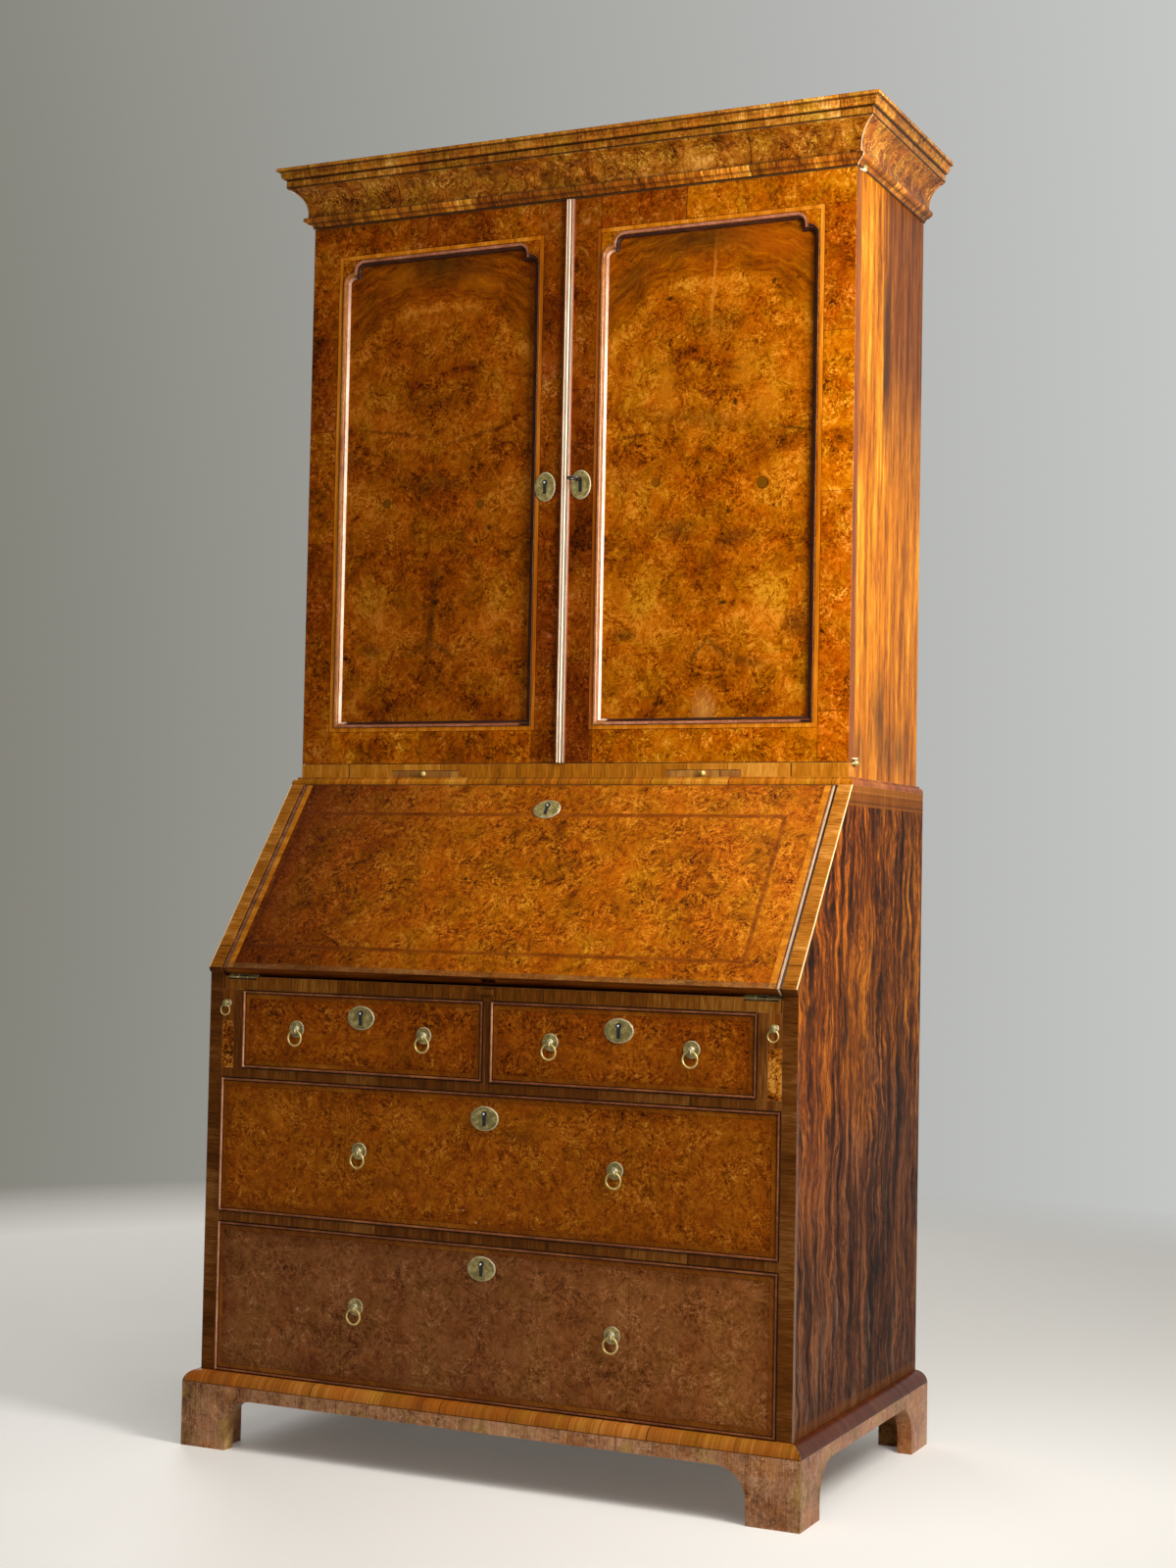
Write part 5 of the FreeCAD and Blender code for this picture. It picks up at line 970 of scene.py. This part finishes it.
class BUREAU_OT_doors(bpy.types.Operator):
    """Veneer of the two doors"""
    bl_idname = "bureau.doors"
    bl_label = "Doors"

    def execute(self, context):
        finishes = context.scene.bureau_finishes
        assign(panel_material("left_panel_burr", -door_joint_x, tuple(finishes.left_panel), LEFT_MARKS),
               "door_left_panel")
        assign(panel_material("right_panel_burr", door_joint_x, PLAIN, RIGHT_MARKS), "door_right_panel")
        # In both calls the first tuple is painted shade towards the meeting stile, and the second lightens
        # the bottom rail
        assign(door_material("left_door_crossband", -sight_x[1], LEFT_PIECES, tuple(finishes.left_frame),
                             (0.78, 0.72, 1.0, 1.0), (1.35, 1.50, 1.0, 1.0)), "door_left_frame")
        assign(door_material("right_door_crossband", sight_x[0], RIGHT_PIECES, PLAIN,
                             (0.54, 0.44, 1.0, 1.0), (1.04, 1.06, 1.0, 1.0)), "door_right_frame")
        assign(astragal_material(), "door_astragal")
        return {"FINISHED"}


class BUREAU_OT_fronts(bpy.types.Operator):
    """Veneer of the fall, the drawers and the slides"""
    bl_idname = "bureau.fronts"
    bl_label = "Fall, drawers and slides"

    def execute(self, context):
        assign(fall_material(), "fall_board")
        small_half = 0.2155
        small_z = (0.5985, 0.7210)
        for side, middle in (("left", -0.2220), ("right", 0.2220)):
            front = drawer_material("small_%s_burr" % side, small_half, middle, small_z, BURR_OLD,
                                    tuple(context.scene.bureau_finishes.small_drawers), crisp=0.95)
            assign(front, "drawer_small_" + side)
        long_half = 0.4750
        long_top_z = (0.3705, 0.5820)
        nicks = [((-34, 404), (1.6, 1.2), 0, 0.2, 0.8, "#C8A070"),
                 ((-11, 387), (1.4, 1.4), 0, 0.2, 0.8, "#C8A070"),
                 ((60, 520), (26, 9), 10, 0.8, 0.4, "#3A1C04"),
                 ((-180, 430), (30, 12), -20, 0.8, 0.3, "#3A1C04")]
        assign(drawer_material("long_top_burr", long_half, 0.0, long_top_z, BURR_OLD, marks=nicks),
               "drawer_long_top")
        long_bottom_z = (0.1190, 0.3540)
        # Own darker, purple-brown tones of the long bottom drawer
        worn_and_highlit = tones("#2A1208", "#542A12", "#784622", "#945E36", "#B48860")
        patch = [((-99, 130), (46, 6), 0, 0.3, 0.35, "#A87848")]
        assign(drawer_material("long_bottom_burr", long_half, 0.0, long_bottom_z, worn_and_highlit, PLAIN,
                               (1.25, 1.25, 1.1, 1.0), patch, 0.75), "drawer_long_bottom")
        loper = rail_material("loper_cross_grain", tones("#4A2006", "#7E4410", "#A8682A"), 0.080)
        assign(loper, "loper_left", "loper_right")
        slide = rail_material("slide_cross_grain", tones("#4A2A08", "#94602A", "#C08C3C"), 0.070)
        assign(slide, "candle_slide_left", "candle_slide_right")
        return {"FINISHED"}


class BUREAU_OT_mouldings(bpy.types.Operator):
    """Cross-grain mouldings, rails and plinth"""
    bl_idname = "bureau.mouldings"
    bl_label = "Mouldings and rails"

    def execute(self, context):
        bookcase_face = (bookcase_half, door_face_y)
        bureau_face = (bureau_half, drawer_face_y)
        crown = tones("#241004", "#78400C", "#B06E1A", "#ECB466")
        # Dark lines: painted shade in the quirks; pale lines and the corner line: painted highlight
        assign(moulding_material("crown_cross_grain", bookcase_face, 0.120, crown, burr_share=0.5,
                                 contrast=1.3,
                                 dark=((2.0782, 0.0016, 0.95), (2.0910, 0.0014, 0.9), (2.1040, 0.0010, 0.7)),
                                 pale=((2.1074, 0.0014, 0.5), (2.0952, 0.0012, 0.3))), "cornice_crown")
        frieze = tones("#180802", "#502404", "#7C4006", "#A46414", "#D29848")
        assign(moulding_material("frieze_burr", bookcase_face, 0.080, frieze, burr_share=0.9, contrast=1.25,
                                 dark=((2.0138, 0.0015, 0.95), (2.0203, 0.0005, 0.6), (2.0304, 0.0015, 0.9)),
                                 pale=((2.0172, 0.0026, 0.7), (2.0254, 0.0040, 0.9)), mitre_highlight=0.8,
                                 reed=(2.0138, 2.0300)), "cornice_frieze")
        waist = tones("#6A3404", "#AE660E", "#D8983A")
        assign(moulding_material("waist_cross_grain", bookcase_face, 0.075, waist, side_tint="#C8A898"),
               "waist_moulding")
        base = tones("#64300A", "#A25E1E", "#D6964A")
        assign(moulding_material("base_cross_grain", bureau_face, 0.072, base, side_tint="#84603C",
                                 contrast=0.75, dark=((0.1004, 0.0010, 0.8),)), "base_moulding")
        foot = tones("#42261A", "#8E6042", "#BE8C68", "#E0B698")
        assign(moulding_material("plinth_veneer", bureau_face, 0.300, foot, side_tint="#E8DCD4",
                                 burr_share=0.6, contrast=1.2), "plinth")
        for name, node, stops, piece in (
                ("drawer_rail_cross_grain", "drawer_rails", tones("#2C1204", "#683810", "#A06C30"), 0.085),
                ("slide_rail_cross_grain", "slide_rail", tones("#6A3404", "#AC6814", "#DC9C40"), 0.100),
                ("writing_board_walnut", "writing_board", tones("#301404", "#74400E", "#B07830"), 0.120)):
            assign(rail_material(name, stops, piece), node)
        return {"FINISHED"}


class BUREAU_OT_carcass(bpy.types.Operator):
    """Sides, backs, boards and the inner case"""
    bl_idname = "bureau.carcass"
    bl_label = "Carcass"

    def execute(self, context):
        assign(bureau_side_material(), "bureau_sides")
        assign(bookcase_side_material(), "bookcase_sides")
        assign(plain_wood("oak_back", OAK, (1.0, 1.0, 0.03), 4.0, board=0.172), "bureau_back",
               "bookcase_back")
        assign(plain_wood("oak_boards", OAK, (0.03, 1.0, 1.0), 4.0), "bureau_bottom", "bureau_top",
               "bookcase_boards", "bookcase_shelves", "cornice_frame")
        assign(runner_material(), "drawer_guides")
        assign(plain_wood("inner_walnut", RED_GRAIN, (0.05, 1.0, 1.0), 3.0, 0.36, 0.3), "inner_case",
               "inner_drawer_left", "inner_drawer_right")
        return {"FINISHED"}


class BUREAU_OT_metal(bpy.types.Operator):
    """Brass pulls, plates and hinges, and the steel key"""
    bl_idname = "bureau.metal"
    bl_label = "Brass and key"

    def execute(self, context):
        looks = context.scene.bureau_finishes
        slots = {entry["node"]: entry["material_slot"] for entry in frame["record"]["subparts"]}
        brass = [node for node, slot in slots.items() if slot == "brass_old"]
        handled = [node for node in brass if node.startswith(("ring_", "candle_knob"))]
        plates = even_stops(looks.plate_dark, looks.plate_middle, looks.plate_bright)
        rings = even_stops(looks.ring_dark, looks.ring_middle, looks.ring_bright)
        assign(brass_material("tarnished_brass", plates, 0.0020), *brass)
        assign(brass_material("rubbed_brass", rings, 0.0006), *handled)
        assign(steel_material(), "door_key")
        return {"FINISHED"}


def fitting(name, body, finish):
    """An empty mesh and a piece that rides on a body."""
    mesh = bpy.data.meshes.new(name)
    piece = bpy.data.objects.new(name, mesh)
    bpy.context.collection.objects.link(piece)
    mesh.materials.append(finish)
    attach(piece, body)
    return mesh


def upright(x, z, face_y):
    """Turns a shape that is drawn lying on its back so that it stands on a front at this place."""
    return Matrix.Translation((x, face_y, z)) @ Matrix.Rotation(math.radians(90), 4, "X")


def on_slope(x, s):
    """The same for a place on the sloping fall, s up from its lower edge."""
    middle = Vector((x, lip[0] + s * up_slope[1], lip[1] + s * up_slope[2]))
    return Matrix.Translation(middle) @ Matrix.Rotation(slope_angle, 4, "X")


def keyhole(name, body, where, black, steel):
    """Black shadow in the keyhole of a plate, and the steel pin that the key turns on."""
    sizes = bpy.context.scene.bureau_fittings
    shape = bmesh.new()
    top = sizes.keyhole_rise - sizes.keyhole_radius / 2
    if steel:
        circle = bmesh.ops.create_circle(shape, cap_ends=True, segments=32,
                                         radius=sizes.keyhole_radius)["verts"]
        bmesh.ops.translate(shape, verts=circle, vec=(0.0, sizes.keyhole_rise, 0.0))
    slot = bmesh.ops.create_grid(shape, x_segments=1, y_segments=1, size=1.0)["verts"]
    bmesh.ops.scale(shape, verts=slot, vec=(sizes.slot_half, (top + sizes.slot_reach) / 2, 1.0))
    bmesh.ops.translate(shape, verts=slot, vec=(0.0, (top - sizes.slot_reach) / 2, sizes.keyhole_depth / 20))
    raised = bmesh.ops.extrude_face_region(shape, geom=shape.faces[:], use_keep_orig=True)["geom"]
    raised = [corner for corner in raised if isinstance(corner, bmesh.types.BMVert)]
    bmesh.ops.translate(shape, verts=raised, vec=(0.0, 0.0, sizes.keyhole_depth))
    bmesh.ops.recalc_face_normals(shape, faces=shape.faces)
    bmesh.ops.transform(shape, matrix=where, verts=shape.verts)
    mesh = fitting(name + "_shadow_sheet", body, black)
    shape.to_mesh(mesh)
    shape.clear()
    if steel:
        bmesh.ops.create_cone(shape, cap_ends=True, segments=20, radius1=sizes.pin_radius,
                              radius2=sizes.pin_radius, depth=sizes.pin_radius)
        tip = [edge for edge in shape.edges if all(corner.co.z > 0 for corner in edge.verts)]
        bmesh.ops.bevel(shape, geom=tip, offset=sizes.pin_radius * 0.4, affect="EDGES", segments=3,
                        profile=0.5, material=-1)
        bmesh.ops.translate(shape, verts=shape.verts, vec=(-sizes.pin_radius / 2, sizes.keyhole_rise,
                                                           sizes.keyhole_depth + sizes.pin_radius / 4))
        bmesh.ops.transform(shape, matrix=where, verts=shape.verts)
        mesh = fitting(name + "_pin", body, steel)
        shape.to_mesh(mesh)
        mesh.shade_smooth()
    shape.free()


class BUREAU_PG_fittings(bpy.types.PropertyGroup):
    """Sizes of the small fittings."""
    keyhole_radius: bpy.props.FloatProperty(
        name="Keyhole radius", description="Round part of the keyhole", default=0.0048, unit="LENGTH")
    keyhole_rise: bpy.props.FloatProperty(
        name="Keyhole rise", description="Round part above the plate's middle", default=0.0070, unit="LENGTH")
    slot_half: bpy.props.FloatProperty(
        name="Slot half width", description="Half width of the keyhole's slot", default=0.0030, unit="LENGTH")
    slot_reach: bpy.props.FloatProperty(
        name="Slot reach", description="Slot below the plate's middle", default=0.0115, unit="LENGTH")
    keyhole_depth: bpy.props.FloatProperty(
        name="Keyhole depth", description="Height of the dark shape in the plate", default=0.00195,
        unit="LENGTH")
    pin_radius: bpy.props.FloatProperty(
        name="Pin radius", description="Steel pin in the lock", default=0.0019, unit="LENGTH")
    nail_radius: bpy.props.FloatProperty(
        name="Nail radius", description="Brass nails in the plate of the fall", default=0.0014, unit="LENGTH")
    nail_reach: bpy.props.FloatProperty(
        name="Nail reach", description="Each nail's place beside the plate's middle", default=0.0195,
        unit="LENGTH")


class BUREAU_OT_fittings(bpy.types.Operator):
    """Near-black sheets of painted shadow and pins in the keyholes, nails in the fall's plate"""
    bl_idname = "bureau.fittings"
    bl_label = "Small fittings"

    def execute(self, context):
        # Each keyhole gets a near-black sheet of painted shadow
        black = keyhole_shadow_material()
        steel = pin_material()
        drawers = {"drawer_small_left": (-0.220, 0.686), "drawer_small_right": (0.220, 0.686),
                   "drawer_long_top": (0.0, 0.544), "drawer_long_bottom": (0.0, 0.319)}
        for body, (x, z) in drawers.items():
            keyhole(body + "_keyhole", body, upright(x, z, drawer_face_y), black, steel)
        lock_z = 1.544
        keyhole("door_left_keyhole", "door_left", upright(-0.0376, lock_z, door_face_y), black, steel)
        keyhole("door_right_keyhole", "door_right", upright(0.0263, lock_z, door_face_y), black, None)
        plate = on_slope(0.0, 0.327)
        plate_height = 0.0018
        keyhole("fall_keyhole", "fall", plate, black, steel)
        sizes = context.scene.bureau_fittings
        mesh = fitting("fall_plate_nails", "fall", frame["nodes"]["fall_brass"].material_slots[0].material)
        shape = bmesh.new()
        for x in (-sizes.nail_reach, sizes.nail_reach):
            nail = bmesh.ops.create_uvsphere(shape, u_segments=16, v_segments=8,
                                             radius=sizes.nail_radius)["verts"]
            bmesh.ops.scale(shape, verts=nail, vec=(1.0, 1.0, 0.5))
            bmesh.ops.translate(shape, verts=nail, vec=(x, 0.0, plate_height))
        bmesh.ops.transform(shape, matrix=plate, verts=shape.verts)
        shape.to_mesh(mesh)
        shape.free()
        mesh.shade_smooth()
        return {"FINISHED"}


def soft_light(name, at, aim, size, power):
    """A rectangular soft light that the camera doesn't see."""
    lamp = bpy.data.lights.new(name, "AREA")
    lamp.shape = "RECTANGLE"
    lamp.size, lamp.size_y = size
    lamp.energy = power
    light = bpy.data.objects.new(name, lamp)
    light.location = at
    light.rotation_euler = (Vector(aim) - Vector(at)).to_track_quat("-Z", "Y").to_euler()
    light.visible_camera = False
    bpy.context.collection.objects.link(light)


class BUREAU_OT_stage(bpy.types.Operator):
    """Floor, soft lights, background and camera"""
    bl_idname = "bureau.stage"
    bl_label = "Stage"

    def execute(self, context):
        stage = context.scene.bureau_stage
        shape = bmesh.new()
        bmesh.ops.create_circle(shape, cap_ends=True, segments=96, radius=stage.floor_radius)
        mesh = bpy.data.meshes.new("floor")
        shape.to_mesh(mesh)
        shape.free()
        mesh.materials.append(floor_material(stage))
        floor = bpy.data.objects.new("floor", mesh)
        context.collection.objects.link(floor)
        soft_light("key_light", (1.35, -0.55, 1.6), (0.25, -0.05, 1.5), (0.5, 1.2), stage.key_power)
        soft_light("top_light", (0.6, -1.6, 4.4), (0.0, -0.3, 0.6), (3.0, 3.0), stage.top_power)
        soft_light("back_light", (-2.8, 2.6, 2.4), (0.0, 0.0, 1.0), (2.0, 2.0), stage.back_power)
        soft_light("front_light", (-2.6, -4.0, 1.6), (0.0, -0.2, 1.0), (2.6, 2.6), stage.front_power)
        context.scene.world = room(stage)
        self.camera(context)
        context.scene.view_settings.view_transform = "Standard"
        return {"FINISHED"}

    def camera(self, context):
        """Camera at the photograph's viewing angle, found from the corners of the piece."""
        yaw, pitch, roll = (math.radians(angle) for angle in camera_angles)
        forward = Vector((math.sin(yaw) * math.cos(pitch), math.cos(yaw) * math.cos(pitch), math.sin(pitch)))
        level = Vector((math.cos(yaw), -math.sin(yaw), 0.0))
        square = level.cross(forward)
        right = math.cos(roll) * level + math.sin(roll) * square
        up = math.cos(roll) * square - math.sin(roll) * level
        view = bpy.data.cameras.new("camera")
        view.sensor_fit = "VERTICAL"
        view.sensor_height = 36.0
        view.lens = view.sensor_height * focal_length / photo_height
        view.clip_end = 50.0
        camera = bpy.data.objects.new("camera", view)
        turn = Matrix((right, up, -forward)).transposed().to_4x4()
        camera.matrix_world = Matrix.Translation(camera_place) @ turn
        context.collection.objects.link(camera)
        context.scene.camera = camera


class BUREAU_PT_panel(bpy.types.Panel):
    """Steps that finish the bureau bookcase, and their settings"""
    bl_label = "Bureau bookcase"
    bl_idname = "BUREAU_PT_panel"
    bl_space_type = "VIEW_3D"
    bl_region_type = "UI"
    bl_category = "Bureau"

    def draw(self, context):
        for step in steps:
            self.layout.operator(step.bl_idname)
        for name, group in groups.items():
            for setting in group.__annotations__:
                self.layout.prop(getattr(context.scene, name), setting)


groups = {"bureau_stage": BUREAU_PG_stage, "bureau_finishes": BUREAU_PG_finishes,
          "bureau_fittings": BUREAU_PG_fittings}
steps = (BUREAU_OT_doors, BUREAU_OT_fronts, BUREAU_OT_mouldings, BUREAU_OT_carcass, BUREAU_OT_metal,
         BUREAU_OT_fittings, BUREAU_OT_stage)
classes = (*groups.values(), *steps, BUREAU_PT_panel)


def register():
    for entry in classes:
        bpy.utils.register_class(entry)
    for name, group in groups.items():
        setattr(bpy.types.Scene, name, bpy.props.PointerProperty(type=group))


def unregister():
    for name in groups:
        delattr(bpy.types.Scene, name)
    for entry in reversed(classes):
        bpy.utils.unregister_class(entry)


def main():
    register()
    bpy.ops.bureau.doors()
    bpy.ops.bureau.fronts()
    bpy.ops.bureau.mouldings()
    bpy.ops.bureau.carcass()
    bpy.ops.bureau.metal()
    bpy.ops.bureau.fittings()
    bpy.ops.bureau.stage()


if __name__ == "__main__":
    main()
